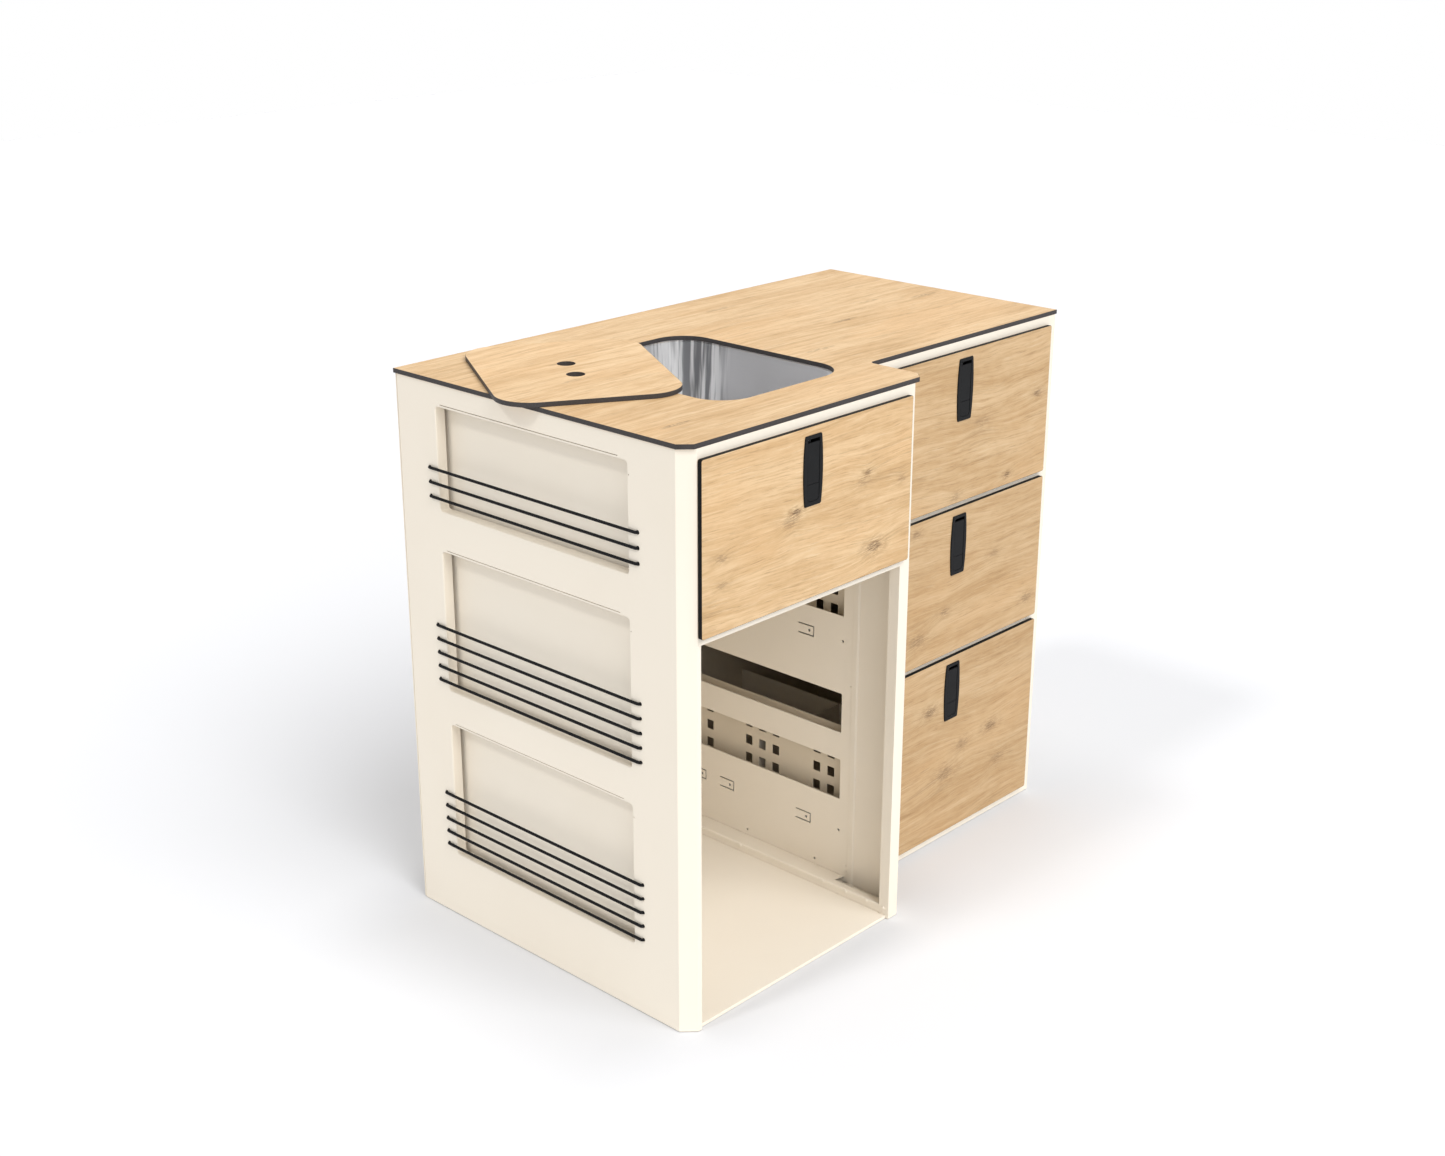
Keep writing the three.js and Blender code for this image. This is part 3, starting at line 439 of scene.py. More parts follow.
# The bowl's right, front and back walls, in the frame's metres
SINK_WALL = [(SINK_X[1] - ORIGIN[0]) * MM] + [(y - ORIGIN[1]) * MM for y in SINK_Y]
TOP_FLECKS = [
    (0.1987, 0.0152, 0.038, 0.007, 0.7),
    (0.3371, 0.0773, 0.03, 0.006, 0.6),
    (0.4390, 0.0388, 0.045, 0.01, 0.5),
    (0.0210, -0.0847, 0.04, 0.007, 0.5),
    (0.1184, 0.2200, 0.05, 0.008, 0.35),
    (-0.4326, -0.2180, 0.035, 0.006, 0.7),
    (0.3000, -0.0300, 0.03, 0.005, 0.35),
    (-0.2900, 0.2300, 0.04, 0.006, 0.4),
]
LID_FLECKS = [(-0.33, 0.12, 0.035, 0.006, 0.6), (-0.38, 0.03, 0.04, 0.006, 0.5)]
FINISHES = {
    "cream": powder_coat("cream powder coat", tone(243, 234, 219), tone(240, 230, 214)),
    # The drawer boxes' coat is painted darker than the body's cream, as painted shade for the insides of the
    # drawers
    "drawer": powder_coat("drawer powder coat", tone(226, 214, 194), tone(219, 206, 185), 0.46),
    # The worktop and lid's core edges are painted lighter grey than the fronts' black core, as a painted
    # sheen
    "core": board_core("worktop core edge", tone(66, 63, 63), 0.4),
    "black core": board_core("front core edge", tone(10, 10, 11), 0.45),
    "sink": pressed_steel("pressed sink steel", tone(234, 234, 236), tone(250, 250, 251), SINK_WALL),
    "zinc": plated_steel("zinc plate", tone(176, 180, 184), 0.42, (90.0, 14.0, 90.0), 90.0),
    "black": satin_plastic("black satin plastic", tone(7, 8, 10), tone(12, 13, 15), 0.58),
    "lace": braided_cover("braided elastic cord", tone(7, 7, 8), tone(26, 26, 28)),
    "oak worktop": oak("oak worktop", "y", 1.3, [], TOP_FLECKS, 0.13),
    "oak lid": oak("oak lid", "y", 5.9, [], LID_FLECKS, 0.06),
}


# Shapes


def span(centre, size):
    return (centre - size / 2, centre + size / 2)


def grown(ends, by):
    return (ends[0] - by, ends[1] + by)


def rect(across, up):
    return [(across[0], up[0]), (across[1], up[0]), (across[1], up[1]), (across[0], up[1])]


def arc(centre, radius, start, end, steps):
    """Points on an arc, from and to a share of a turn."""
    turns = [2 * math.pi * (start + (end - start) * i / steps) for i in range(steps + 1)]
    return [(centre[0] + radius * math.cos(t), centre[1] + radius * math.sin(t)) for t in turns]


def circle(centre, radius, steps):
    return arc(centre, radius, 0, 1, steps)[:steps]


def rounded(across, up, radius, steps=ARC):
    (left, right), (low, high) = grown(across, -radius), grown(up, -radius)
    return [
        *arc((left, low), radius, 0.5, 0.75, steps),
        *arc((right, low), radius, 0.75, 1, steps),
        *arc((right, high), radius, 0, 0.25, steps),
        *arc((left, high), radius, 0.25, 0.5, steps),
    ]


def eased(loop, radii, steps=4):
    """A loop with its corners rounded. A radius of 0 keeps a corner."""
    points = []
    for i, corner in enumerate(loop):
        before, here, after = (Vector(loop[i - 1]), Vector(corner), Vector(loop[(i + 1) % len(loop)]))
        radius = radii[i]
        if not radius:
            points.append(tuple(here))
            continue
        back, on = (before - here).normalized(), (after - here).normalized()
        half = back.angle(on) / 2
        reach = radius / math.tan(half)
        centre = here + (back + on).normalized() * (radius / math.sin(half))
        first, last = here + back * reach - centre, here + on * reach - centre
        turn = first.angle_signed(last)
        for k in range(steps + 1):
            angle = -turn * k / steps
            c, s = math.cos(angle), math.sin(angle)
            points.append((centre.x + first.x * c - first.y * s, centre.y + first.x * s + first.y * c))
    return points


def area(loop):
    return sum(a[0] * b[1] - b[0] * a[1] for a, b in zip(loop, loop[1:] + loop[:1])) / 2


def moved(loop, by):
    """A loop shifted to its left-hand side."""
    points = np.array(loop, float)
    ahead = np.roll(points, -1, axis=0) - points
    ahead /= np.linalg.norm(ahead, axis=1)[:, None]
    left = np.stack([-ahead[:, 1], ahead[:, 0]], axis=1)
    before = np.roll(left, 1, axis=0)
    reach = by / (1 + np.einsum("ij,ij->i", left, before))
    return points + (left + before) * reach[:, None]


def parted(loop, places):
    """A loop with a point added wherever an edge crosses one of the places on the first axis."""
    points = []
    for a, b in zip(loop, loop[1:] + loop[:1]):
        points.append(a)
        low, high = sorted((a[0], b[0]))
        crossed = [p for p in places if low + 1e-6 < p < high - 1e-6]
        for p in sorted(crossed, reverse=a[0] > b[0]):
            share = (p - a[0]) / (b[0] - a[0])
            points.append((p, a[1] + (b[1] - a[1]) * share))
    return points


def within(points, loops):
    """Which points lie inside an odd number of the loops."""
    inside = np.zeros(len(points), bool)
    for loop in loops:
        a, b = loop, np.roll(loop, -1, axis=0)
        for start, end in zip(a, b):
            if start[1] == end[1]:
                continue
            crosses = (start[1] > points[:, 1]) != (end[1] > points[:, 1])
            reach = (end[0] - start[0]) * (points[:, 1] - start[1]) / (end[1] - start[1]) + start[0]
            inside ^= crosses & (points[:, 0] < reach)
    return inside


def filled(loops, places):
    """Triangles between the loops, with an edge along every place where the sheet bends."""
    points = np.concatenate(loops)
    edges, first = [], 0
    for loop in loops:
        edges += [(first + i, first + (i + 1) % len(loop)) for i in range(len(loop))]
        first += len(loop)
    for place in places:
        rows = sorted(np.flatnonzero(abs(points[:, 0] - place) < 1e-4), key=lambda i: points[i, 1])
        pairs = [(a, b) for a, b in zip(rows, rows[1:]) if points[b, 1] - points[a, 1] > 1e-4]
        if pairs:
            middles = np.array([(points[a] + points[b]) / 2 for a, b in pairs]) + (1e-5, 0)
            edges += [pair for pair, good in zip(pairs, within(middles, loops)) if good]
    coords, _, faces, origins, _, _ = delaunay_2d_cdt([Vector(p) for p in points], edges, [], 0, 1e-5, True)
    centres = np.array([sum((np.array(coords[i]) for i in f), np.zeros(2)) / len(f) for f in faces])
    kept = within(centres, loops)
    return [[origins[i][0] for i in f] for f, keep in zip(faces, kept) if keep]


def quarter(radius, flat, deep, rising, steps):
    """Part of a rim: a quarter round, as (how far into the sheet, how deep) pairs."""
    turns = [math.pi / 2 * i / steps for i in range(steps + 1)] if radius else [0.0]
    if rising:
        return [(flat + radius * (1 - math.sin(t)), deep + radius * (1 - math.cos(t))) for t in turns]
    return [(flat + radius * (1 - math.cos(t)), deep - radius * (1 - math.sin(t))) for t in turns]


def plain_rim(thickness, near=SHEET_EDGE, far=SHEET_EDGE, steps=2):
    """A cut edge, eased by one radius at the near face and one at the far face."""
    return quarter(near, 0.0, 0.0, True, steps) + quarter(far, 0.0, thickness, False, steps)


def turned_rim(thickness, depth, inner=BEND, edge=SHEET_EDGE, steps=4):
    """An edge that is bent round and stands up to a depth."""
    outer = thickness + inner
    rim = quarter(outer, 0.0, 0.0, True, steps)
    rim += quarter(edge, 0.0, depth, False, 2)
    rim += [(thickness - o, d) for o, d in reversed(quarter(edge, 0.0, depth, False, 2))]
    turns = [math.pi / 2 * i / steps for i in range(steps + 1)]
    return rim + [(outer - inner * math.cos(t), outer - inner * math.sin(t)) for t in turns]


def band(first, second, count):
    """Faces between two rings of points that begin at these numbers."""
    return [[first + i, first + (i + 1) % count, second + (i + 1) % count, second + i] for i in range(count)]


def in_frame(point):
    """A place in the pod's millimetres, given in the frame's metres."""
    return (Vector(point) - Vector(ORIGIN)) * MM


def linked(name, data):
    """A new object in the scene."""
    made = bpy.data.objects.new(name, data)
    bpy.context.scene.collection.objects.link(made)
    return made


class Stock:
    """Points, faces and the finish of each face, gathered into one piece. Points are in millimetres."""

    def __init__(self):
        self.points, self.faces, self.skins = [], [], []

    def add(self, points, faces, skin=0):
        base = len(self.points)
        self.points += [tuple(p) for p in points]
        self.faces += [[base + i for i in face] for face in faces]
        self.skins += list(skin) if isinstance(skin, (list, tuple)) else [skin] * len(faces)

    def plate(self, outer, holes, place, places=(), skins=(0, 0, 0)):
        """A sheet between loops. Each loop comes with its rim, and place puts (a, b, depth) in the pod."""
        loops = [(outer[0] if area(outer[0]) > 0 else outer[0][::-1], outer[1])]
        loops += [(hole if area(hole) < 0 else hole[::-1], rim) for hole, rim in holes]
        caps, starts = ([], []), ([], [])
        for loop, rim in loops:
            loop = parted(loop, places)
            count, base = len(loop), len(self.points)
            for inset, depth in rim:
                self.points += [tuple(place(a, b, depth)) for a, b in moved(loop, inset)]
            for ring in range(len(rim) - 1):
                self.faces += band(base + ring * count, base + (ring + 1) * count, count)
                self.skins += [skins[1]] * count
            for end, (inset, row) in enumerate(((rim[0][0], 0), (rim[-1][0], len(rim) - 1))):
                caps[end].append(moved(loop, inset))
                starts[end].extend(base + row * count + i for i in range(count))
        for end in (0, 1):
            for face in filled(caps[end], places):
                corners = [starts[end][i] for i in face]
                self.faces.append(corners if end else corners[::-1])
                self.skins.append(skins[2 * end])

    def block(self, x, y, z, edge=SHEET_EDGE):
        """A small solid with eased edges."""
        self.plate((rect(x, y), plain_rim(z[1] - z[0], edge, edge)), [], lambda a, b, t: (a, b, z[0] + t))

    def lathe(self, profile, centre, steps):
        """A closed profile of (radius, height) turned about an upright axis."""
        points, faces = [], []
        for radius, height in profile:
            points += [(x, y, height) for x, y in circle(centre, radius, steps)]
        rows = len(profile)
        for row in range(rows):
            faces += band(row * steps, (row + 1) % rows * steps, steps)
        self.add(points, faces)

    def mesh(self, source, matrix):
        """Everything in a mesh that is in millimetres, put in its place."""
        points = [matrix @ v.co for v in source.vertices]
        self.add(points, [list(p.vertices) for p in source.polygons])

    def piece(self, name, body, replaces, finishes, slot, smooth=50.0):
        """The finished object: welded, facing outwards, shaded by its larger faces, riding on a body."""
        mesh = bpy.data.meshes.new(name)
        mesh.from_pydata([in_frame(p) for p in self.points], [], self.faces)
        for finish in finishes:
            mesh.materials.append(FINISHES[finish])
        mesh.polygons.foreach_set("material_index", self.skins)
        shape = bmesh.new()
        shape.from_mesh(mesh)
        bmesh.ops.remove_doubles(shape, verts=shape.verts, dist=2e-6)
        bmesh.ops.dissolve_degenerate(shape, edges=shape.edges, dist=1e-7)
        bmesh.ops.recalc_face_normals(shape, faces=shape.faces)
        shape.to_mesh(mesh)
        shape.free()
        made = linked(name, mesh)
        mesh.polygons.foreach_set("use_smooth", [True] * len(mesh.polygons))
        mesh.set_sharp_from_angle(angle=math.radians(smooth))
        weight = made.modifiers.new("weight", "WEIGHTED_NORMAL")
        weight.keep_sharp = True
        made.data = evaluated(made)
        made.modifiers.clear()
        return carried(made, body, replaces)

    def steel(self, name, node):
        """A cream sheet of the pod's fixed body."""
        return self.piece(name, "carcass", [node], ["cream"], "cream_steel")


def evaluated(thing):
    graph = bpy.context.evaluated_depsgraph_get()
    return bpy.data.meshes.new_from_object(thing.evaluated_get(graph), depsgraph=graph)


def carried(made, body, replaces):
    """Puts a piece on its body, in place of the CAD nodes that it stands for."""
    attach(made, body)
    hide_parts(*replaces)
    return made


class Fold:
    """A sheet bent along a line of corners, with its thickness on the right-hand side of the line."""

    def __init__(self, line, thickness=SHEET, inner=BEND):
        corners = [Vector(p) for p in line]
        ahead = [(b - a).normalized() for a, b in zip(corners, corners[1:])]
        self.parts, self.flats = [], []
        here, s = corners[0], 0.0
        for i, direction in enumerate(ahead):
            turn, radius = 0.0, 0.0
            if i + 1 < len(ahead):
                turn = math.atan2(direction.cross(ahead[i + 1]), direction.dot(ahead[i + 1]))
                radius = inner + (thickness if turn < 0 else 0.0)
            reach = radius * math.tan(abs(turn) / 2)
            stop = corners[i + 1] - direction * reach
            length = (stop - here).length
            self.flats.append((s, (here - corners[i]).length))
            self.parts.append((s, s + length, here, direction, 0.0, 0.0))
            s += length
            if turn:
                self.parts.append((s, s + radius * abs(turn), stop, direction, turn, radius))
                s += radius * abs(turn)
                here = corners[i + 1] + ahead[i + 1] * reach
        self.length = s

    def at(self, s, depth):
        low, high, start, direction, turn, radius = next(
            (part for part in self.parts if s <= part[1] + 1e-7), self.parts[-1]
        )
        if not turn:
            right = Vector((direction.y, -direction.x))
            return start + direction * (s - low) + right * depth
        angle = turn * (s - low) / (high - low)
        c, n = math.cos(angle), math.sin(angle)
        facing = Vector((direction.x * c - direction.y * n, direction.x * n + direction.y * c))
        side = math.copysign(1.0, turn)
        centre = start + Vector((-direction.y, direction.x)) * (side * radius)
        right = Vector((facing.y, -facing.x))
        return centre + right * (side * radius + depth)

    def places(self, steps=4):
        """Where the flat sheet has an edge so that it can bend."""
        bends = [part for part in self.parts if part[4]]
        return [low + (high - low) * i / steps for low, high, *_ in bends for i in range(steps + 1)]

    def s(self, section, distance):
        """The way along the sheet to a point so far from the corner that begins a flat section."""
        start, skipped = self.flats[section]
        return start + distance - skipped

    def along(self, axis):
        """Puts points of the flat sheet in the pod. The bends run along axis: 0 is x, 1 is y and 2 is z."""

        def put(s, aside, depth):
            place = list(self.at(s, depth))
            place.insert(axis, aside)
            return tuple(place)

        return put


# Repeated parts, made by geometry nodes


class Repeat(Tree):
    """A geometry node tree with named sizes."""

    def __init__(self, name, sizes):
        self.group = bpy.data.node_groups.new(name, "GeometryNodeTree")
        self.group.interface.new_socket("Geometry", in_out="OUTPUT", socket_type="NodeSocketGeometry")
        self.group.interface.new_socket("Geometry", in_out="INPUT", socket_type="NodeSocketGeometry")
        super().__init__(self.group)
        self.ids = {}
        for size, kind in sizes.items():
            made = self.group.interface.new_socket(size, in_out="INPUT", socket_type=f"NodeSocket{kind}")
            self.ids[size] = made.identifier
        self.given = self.group.nodes.new("NodeGroupInput")

    def size(self, name):
        return Term(self, self.given.outputs[name])

    def make(self, kind, settings=None, **values):
        """One geometry node. An underscore stands for the space in a socket's name."""
        named = {key.replace("_", " "): value for key, value in values.items()}
        return self.node(f"GeometryNode{kind}", settings, named)

    def joined(self, first, second):
        both = self.make("JoinGeometry", Geometry=first)
        self.nodes.links.new(second.socket, both.socket.node.inputs[0])
        return both

    def finish(self, geometry):
        whole = self.node("GeometryNodeRealizeInstances", values={"Geometry": geometry})
        values = {"Geometry": whole, "Material": self.size("Finish")}
        self.node("NodeGroupOutput", values={0: self.node("GeometryNodeSetMaterial", values=values)})

    def made(self, source, sizes, finish):
        """The mesh that the tree gives for a source object's data and these sizes."""
        holder = linked("holder", source)
        modifier = holder.modifiers.new("repeat", "NODES")
        modifier.node_group = self.group
        for name, value in {**sizes, "Finish": FINISHES[finish]}.items():
            modifier[self.ids[name]] = value
        mesh = evaluated(holder)
        bpy.data.objects.remove(holder)
        return mesh


def perforated_tree():
    """A flat sheet from the origin along x and y, with groups of rounded holes counted from its top edge."""
    lengths = ["Length", "Height", "Thickness", "Hole Width", "Hole Height", "Hole Radius", "Column Pitch"]
    lengths += ["Row Pitch", "Group Pitch", "First Group", "Drop"]
    kinds = {**dict.fromkeys(lengths, "Float"), **dict.fromkeys(("Columns", "Rows", "Groups"), "Int")}
    tree = Repeat("perforated sheet", {**kinds, "Finish": "Material"})
    make, size = tree.make, tree.size

    def frame_of(width, height):
        return make("CurvePrimitiveQuadrilateral", Width=width, Height=height)

    def shifted(geometry, x, y):
        return make("Transform", Geometry=geometry, Translation=tree.vector(x, y))

    outline = shifted(frame_of(size("Length"), size("Height")), size("Length") / 2, size("Height") / 2)
    opening = frame_of(size("Hole Width"), size("Hole Height"))
    hole = make("FilletCurve", {"mode": "POLY"}, Curve=opening, Radius=size("Hole Radius"), Count=4)
    columns, rows = size("Columns"), size("Rows")
    width, rise = (columns - 1.0) * size("Column Pitch"), (rows - 1.0) * size("Row Pitch")
    grid = make("MeshGrid", Size_X=width, Size_Y=rise, Vertices_X=columns, Vertices_Y=rows)
    group = make("RealizeInstances", Geometry=make("InstanceOnPoints", Points=grid, Instance=hole))
    line = make("MeshLine", Count=size("Groups"), Offset=tree.vector(size("Group Pitch")))
    line = shifted(line, size("First Group"), size("Height") - size("Drop") - rise * 0.5)
    holes = make("RealizeInstances", Geometry=make("InstanceOnPoints", Points=line, Instance=group))
    face = make("FillCurve", Curve=tree.joined(outline, holes))
    thickness = size("Thickness")
    raised = make("ExtrudeMesh", {"mode": "FACES"}, Mesh=face, Offset_Scale=thickness, Individual=False)
    both = tree.joined(raised, make("FlipFaces", Mesh=face))
    tree.finish(make("MergeByDistance", Geometry=both, Distance=0.001))
    return tree


def lace_tree():
    """A cord along a curve, that keeps how far along and how far round each point is."""
    tree = Repeat("laced cord", {"Radius": "Float", "Sides": "Int", "Finish": "Material"})

    def kept(geometry, measure, name):
        """The curve and one measure of its points, held while the curve becomes a tube."""
        capture = tree.make("CaptureAttribute", {"domain": "POINT"}, Geometry=geometry).socket.node
        capture.capture_items.new("FLOAT", name)
        way = tree.node("GeometryNodeSplineParameter", output=measure)
        tree.nodes.links.new(way.socket, capture.inputs[name])
        return Term(tree, capture.outputs["Geometry"]), Term(tree, capture.outputs[name])

    path, along = kept(tree.size("Geometry"), "Length", "along")
    ring = tree.make("CurvePrimitiveCircle", Resolution=tree.size("Sides"), Radius=tree.size("Radius"))
    ring, around = kept(ring, "Factor", "round")
    tube = tree.make("CurveToMesh", Curve=path, Profile_Curve=ring, Fill_Caps=True)
    for name, value in (("lace_along", along), ("lace_round", around)):
        tube = tree.make("StoreNamedAttribute", {"data_type": "FLOAT"}, Geometry=tube, Name=name, Value=value)
    tree.finish(tree.node("GeometryNodeSetShadeSmooth", values={0: tube}))
    return tree


def rivet_tree():
    """A low domed head on every point of a mesh, turned the way that the point's facing says."""
    tree = Repeat("rivet heads", {"Radius": "Float", "Height": "Float", "Finish": "Material"})
    radius, height = tree.size("Radius"), tree.size("Height")
    ball = tree.make("MeshUVSphere", Segments=20, Rings=12, Radius=1.0)
    head = tree.make("Transform", Geometry=ball, Scale=tree.vector(radius, radius, height))
    facing = tree.make("InputNamedAttribute", {"data_type": "FLOAT_VECTOR"}, Name="facing")
    turn = tree.node("FunctionNodeAlignRotationToVector", {"axis": "Z"}, {"Vector": facing})
    tree.finish(tree.make("InstanceOnPoints", Points=tree.size("Geometry"), Instance=head, Rotation=turn))
    return tree


def rivet_heads(stock, points, facing):
    """Adds rivet heads at points in millimetres, all facing one way."""
    seats = bpy.data.meshes.new("seats")
    seats.from_pydata(points, [], [])
    values = seats.attributes.new("facing", "FLOAT_VECTOR", "POINT")
    values.data.foreach_set("vector", list(facing) * len(points))
    sizes = {"Radius": RIVET_RADIUS, "Height": RIVET_HEIGHT}
    stock.mesh(RIVET_TREE.made(seats, sizes, "cream"), Matrix.Identity(4))


# Boards


def board(name, body, node, outline, holes, place, decor, edge):
    """A laminate board: decor on both faces, black core on every cut edge."""
    stock = Stock()
    rim = plain_rim(BOARD, BOARD_EDGE, BOARD_EDGE, 3)
    stock.plate((outline, rim), [(hole, rim) for hole in holes], place, skins=(0, 1, 0))
    return stock.piece(name, body, [node], [decor, edge], "oak_board")


def worktop():
    outline = [
        (0.0, TOP_CHAMFER),
        (TOP_CHAMFER, 0.0),
        (LEFT_BAY - TOP_CHAMFER, 0.0),
        (LEFT_BAY, TOP_CHAMFER),
        *arc((LEFT_BAY + NOTCH, SETBACK - NOTCH), NOTCH, 0.5, 0.25, ARC),
        (TOP_WIDTH, SETBACK),
        (TOP_WIDTH, TOP_DEPTH),
        (0.0, TOP_DEPTH),
    ]
    cut_out = rounded(SINK_X, SINK_Y, SINK_RADIUS, WIDE_ARC)
    put = lambda a, b, t: (a, b, UNDERSIDE + t)
    board("worktop_board", "carcass", "worktop", outline, [cut_out], put, "oak worktop", "core")


def lid():
    turn = math.radians(LID_TURN)
    c, s = math.cos(turn), math.sin(turn)
    low = TOP_HEIGHT + SEAT

    def put(a, b, t):
        return (LID_CENTRE[0] + a * c - b * s, LID_CENTRE[1] + a * s + b * c, low + t)

    length, width = SINK_Y[1] - SINK_Y[0] - LID_GAP, SINK_X[1] - SINK_X[0] - LID_GAP
    outline = rounded(span(0, length), span(0, width), SINK_RADIUS, WIDE_ARC)
    holes = [circle((side * FINGER_SPACING / 2, 0.0), FINGER_HOLE, 48) for side in (-1, 1)]
    board("lid_board", "lid", "sink_lid", outline, holes, put, "oak lid", "core")


# Sink

BOWL_FLOOR = BODY_TOP - BOWL_DEPTH
DRAIN_TOP = BOWL_FLOOR - BOWL_FLOOR_FALL
DRAIN = ((SINK_X[0] + SINK_X[1]) / 2, (SINK_Y[0] + SINK_Y[1]) / 2)
LIP, DRAIN_SEAT, DRAIN_DROP = 3.0, 36.0, 2.6
NUT_RADIUS, TAIL_RADIUS, TAIL_BORE, STRAINER_HOLE, STRAINER_DISH = 33.0, 20.5, 18.5, 2.4, 0.004


def bowl():
    """The bowl's inside as rings from the flange down to the drain, then given its wall."""

    def ring(inset, height):
        spans = (grown(SINK_X, BOWL_REVEAL - inset), grown(SINK_Y, BOWL_REVEAL - inset))
        loop = rounded(*spans, SINK_RADIUS + BOWL_REVEAL - inset, WIDE_ARC)
        return [(x, y, height) for x, y in loop]

    rings = [ring(-BOWL_FLANGE, BODY_TOP)]
    rings += [ring(-o, BODY_TOP - d) for o, d in reversed(quarter(LIP, 0.0, LIP, False, 4))]
    knee = BOWL_FLOOR + BOWL_FLOOR_RADIUS
    for share in (0.33, 0.66):
        rings.append(ring(BOWL_TAPER * share, BODY_TOP - LIP + (knee - BODY_TOP + LIP) * share))
    for i in range(9):
        turn = math.pi / 2 * i / 8
        inset, rise = BOWL_FLOOR_RADIUS * (1 - math.cos(turn)), BOWL_FLOOR_RADIUS * (1 - math.sin(turn))
        rings.append(ring(BOWL_TAPER + inset, BOWL_FLOOR + rise))
    edge = rings[-1]
    turns = [math.atan2(y - DRAIN[1], x - DRAIN[0]) for x, y, _ in edge]

    def round_ring(radius, z):
        return [(DRAIN[0] + radius * math.cos(t), DRAIN[1] + radius * math.sin(t), z) for t in turns]

    seat = round_ring(DRAIN_SEAT, DRAIN_TOP)
    for share in (0.2, 0.4, 0.6, 0.8):
        rings.append([tuple(a + (b - a) * share for a, b in zip(p, q)) for p, q in zip(edge, seat)])
    rings += [
        seat,
        round_ring(DRAIN_SEAT - 1.5, DRAIN_TOP - 0.6),
        round_ring(DRAIN_SEAT - 3.0, DRAIN_TOP - DRAIN_DROP),
        round_ring(DRAIN_RADIUS, DRAIN_TOP - DRAIN_DROP),
    ]
    count = len(edge)
    faces = [face for row in range(len(rings) - 1) for face in band(row * count, (row + 1) * count, count)]
    mesh = bpy.data.meshes.new("bowl")
    mesh.from_pydata([in_frame(p) for r in rings for p in r], [], faces)
    shape = bmesh.new()
    shape.from_mesh(mesh)
    bmesh.ops.remove_doubles(shape, verts=shape.verts, dist=1e-6)
    if sum(f.normal.z * f.calc_area() for f in shape.faces) < 0:
        bmesh.ops.reverse_faces(shape, faces=shape.faces)
    shape.to_mesh(mesh)
    shape.free()
    mesh.materials.append(FINISHES["sink"])
    mesh.polygons.foreach_set("use_smooth", [True] * len(mesh.polygons))
    made = linked("bowl_pressing", mesh)
    wall = made.modifiers.new("wall", "SOLIDIFY")
    wall.thickness, wall.offset = BOWL_WALL * MM, -1.0
    made.data = evaluated(made)
    made.modifiers.clear()
    made.data.set_sharp_from_angle(angle=math.radians(55))
    carried(made, "carcass", ["sink_bowl"])


def waste():
    """Flanged waste with a strainer plate, its nut and a tail pipe."""
    top = DRAIN_TOP - DRAIN_DROP + 0.3
    under = top - 0.6 - BOWL_WALL
    body = DRAIN_RADIUS - 0.3
    profile = [
        (DRAIN_RADIUS - 3.0, top + 1.6),
        (DRAIN_RADIUS + 2.0, top + 1.8),
        (DRAIN_RADIUS + 5.5, top + 0.9),
        (DRAIN_RADIUS + 6.3, top),
        (body, top),
        (body, under),
        (NUT_RADIUS, under),
        (NUT_RADIUS, under - 9.0),
        (body, under - 9.0),
        (body, under - 20.0),
        (body - 2.0, under - 22.0),
        (TAIL_RADIUS, under - 22.0),
        (TAIL_RADIUS, under - 44.0),
        (TAIL_BORE, under - 44.0),
        (TAIL_BORE, top - 9.0),
        (DRAIN_RADIUS - 4.0, top - 6.0),
    ]
    stock = Stock()
    stock.lathe(profile, DRAIN, 56)
    centres = [DRAIN]
    for count, radius in ((6, 7.5), (12, 14.0)):
        centres += [arc(DRAIN, radius, i / count, i / count, 1)[0] for i in range(count)]
    rim = plain_rim(1.0, 0.2, 0.2)

    def dished(a, b, t):
        """The strainer is lowest in its middle."""
        return (a, b, top - 5.0 + t + STRAINER_DISH * ((a - DRAIN[0]) ** 2 + (b - DRAIN[1]) ** 2))

    holes = [(circle(centre, STRAINER_HOLE, 12), rim) for centre in centres]
    stock.plate((circle(DRAIN, DRAIN_RADIUS - 4.2, 48), rim), holes, dished)
    stock.piece("waste_fitting", "carcass", ["sink_waste"], ["zinc"], "sink_steel", 35.0)


# Folded body

PLAIN = plain_rim(SHEET)
FACED = plain_rim(SHEET, 1.2, 0.0, 3)
PUNCHED = plain_rim(SHEET, 0.1, 0.0)
PRONG = BODY_LEFT + CHAMFER + 2.0
RAIL_Z = (598.5, 617.8)
CORD_Y = (NICHE_Y[1] + CORD_MARGIN, NICHE_Y[0] - CORD_MARGIN)


def cord_rows(niche):
    low, _, first, count = NICHES[niche]
    return [low + first + i * CORD_PITCH for i in range(count)]


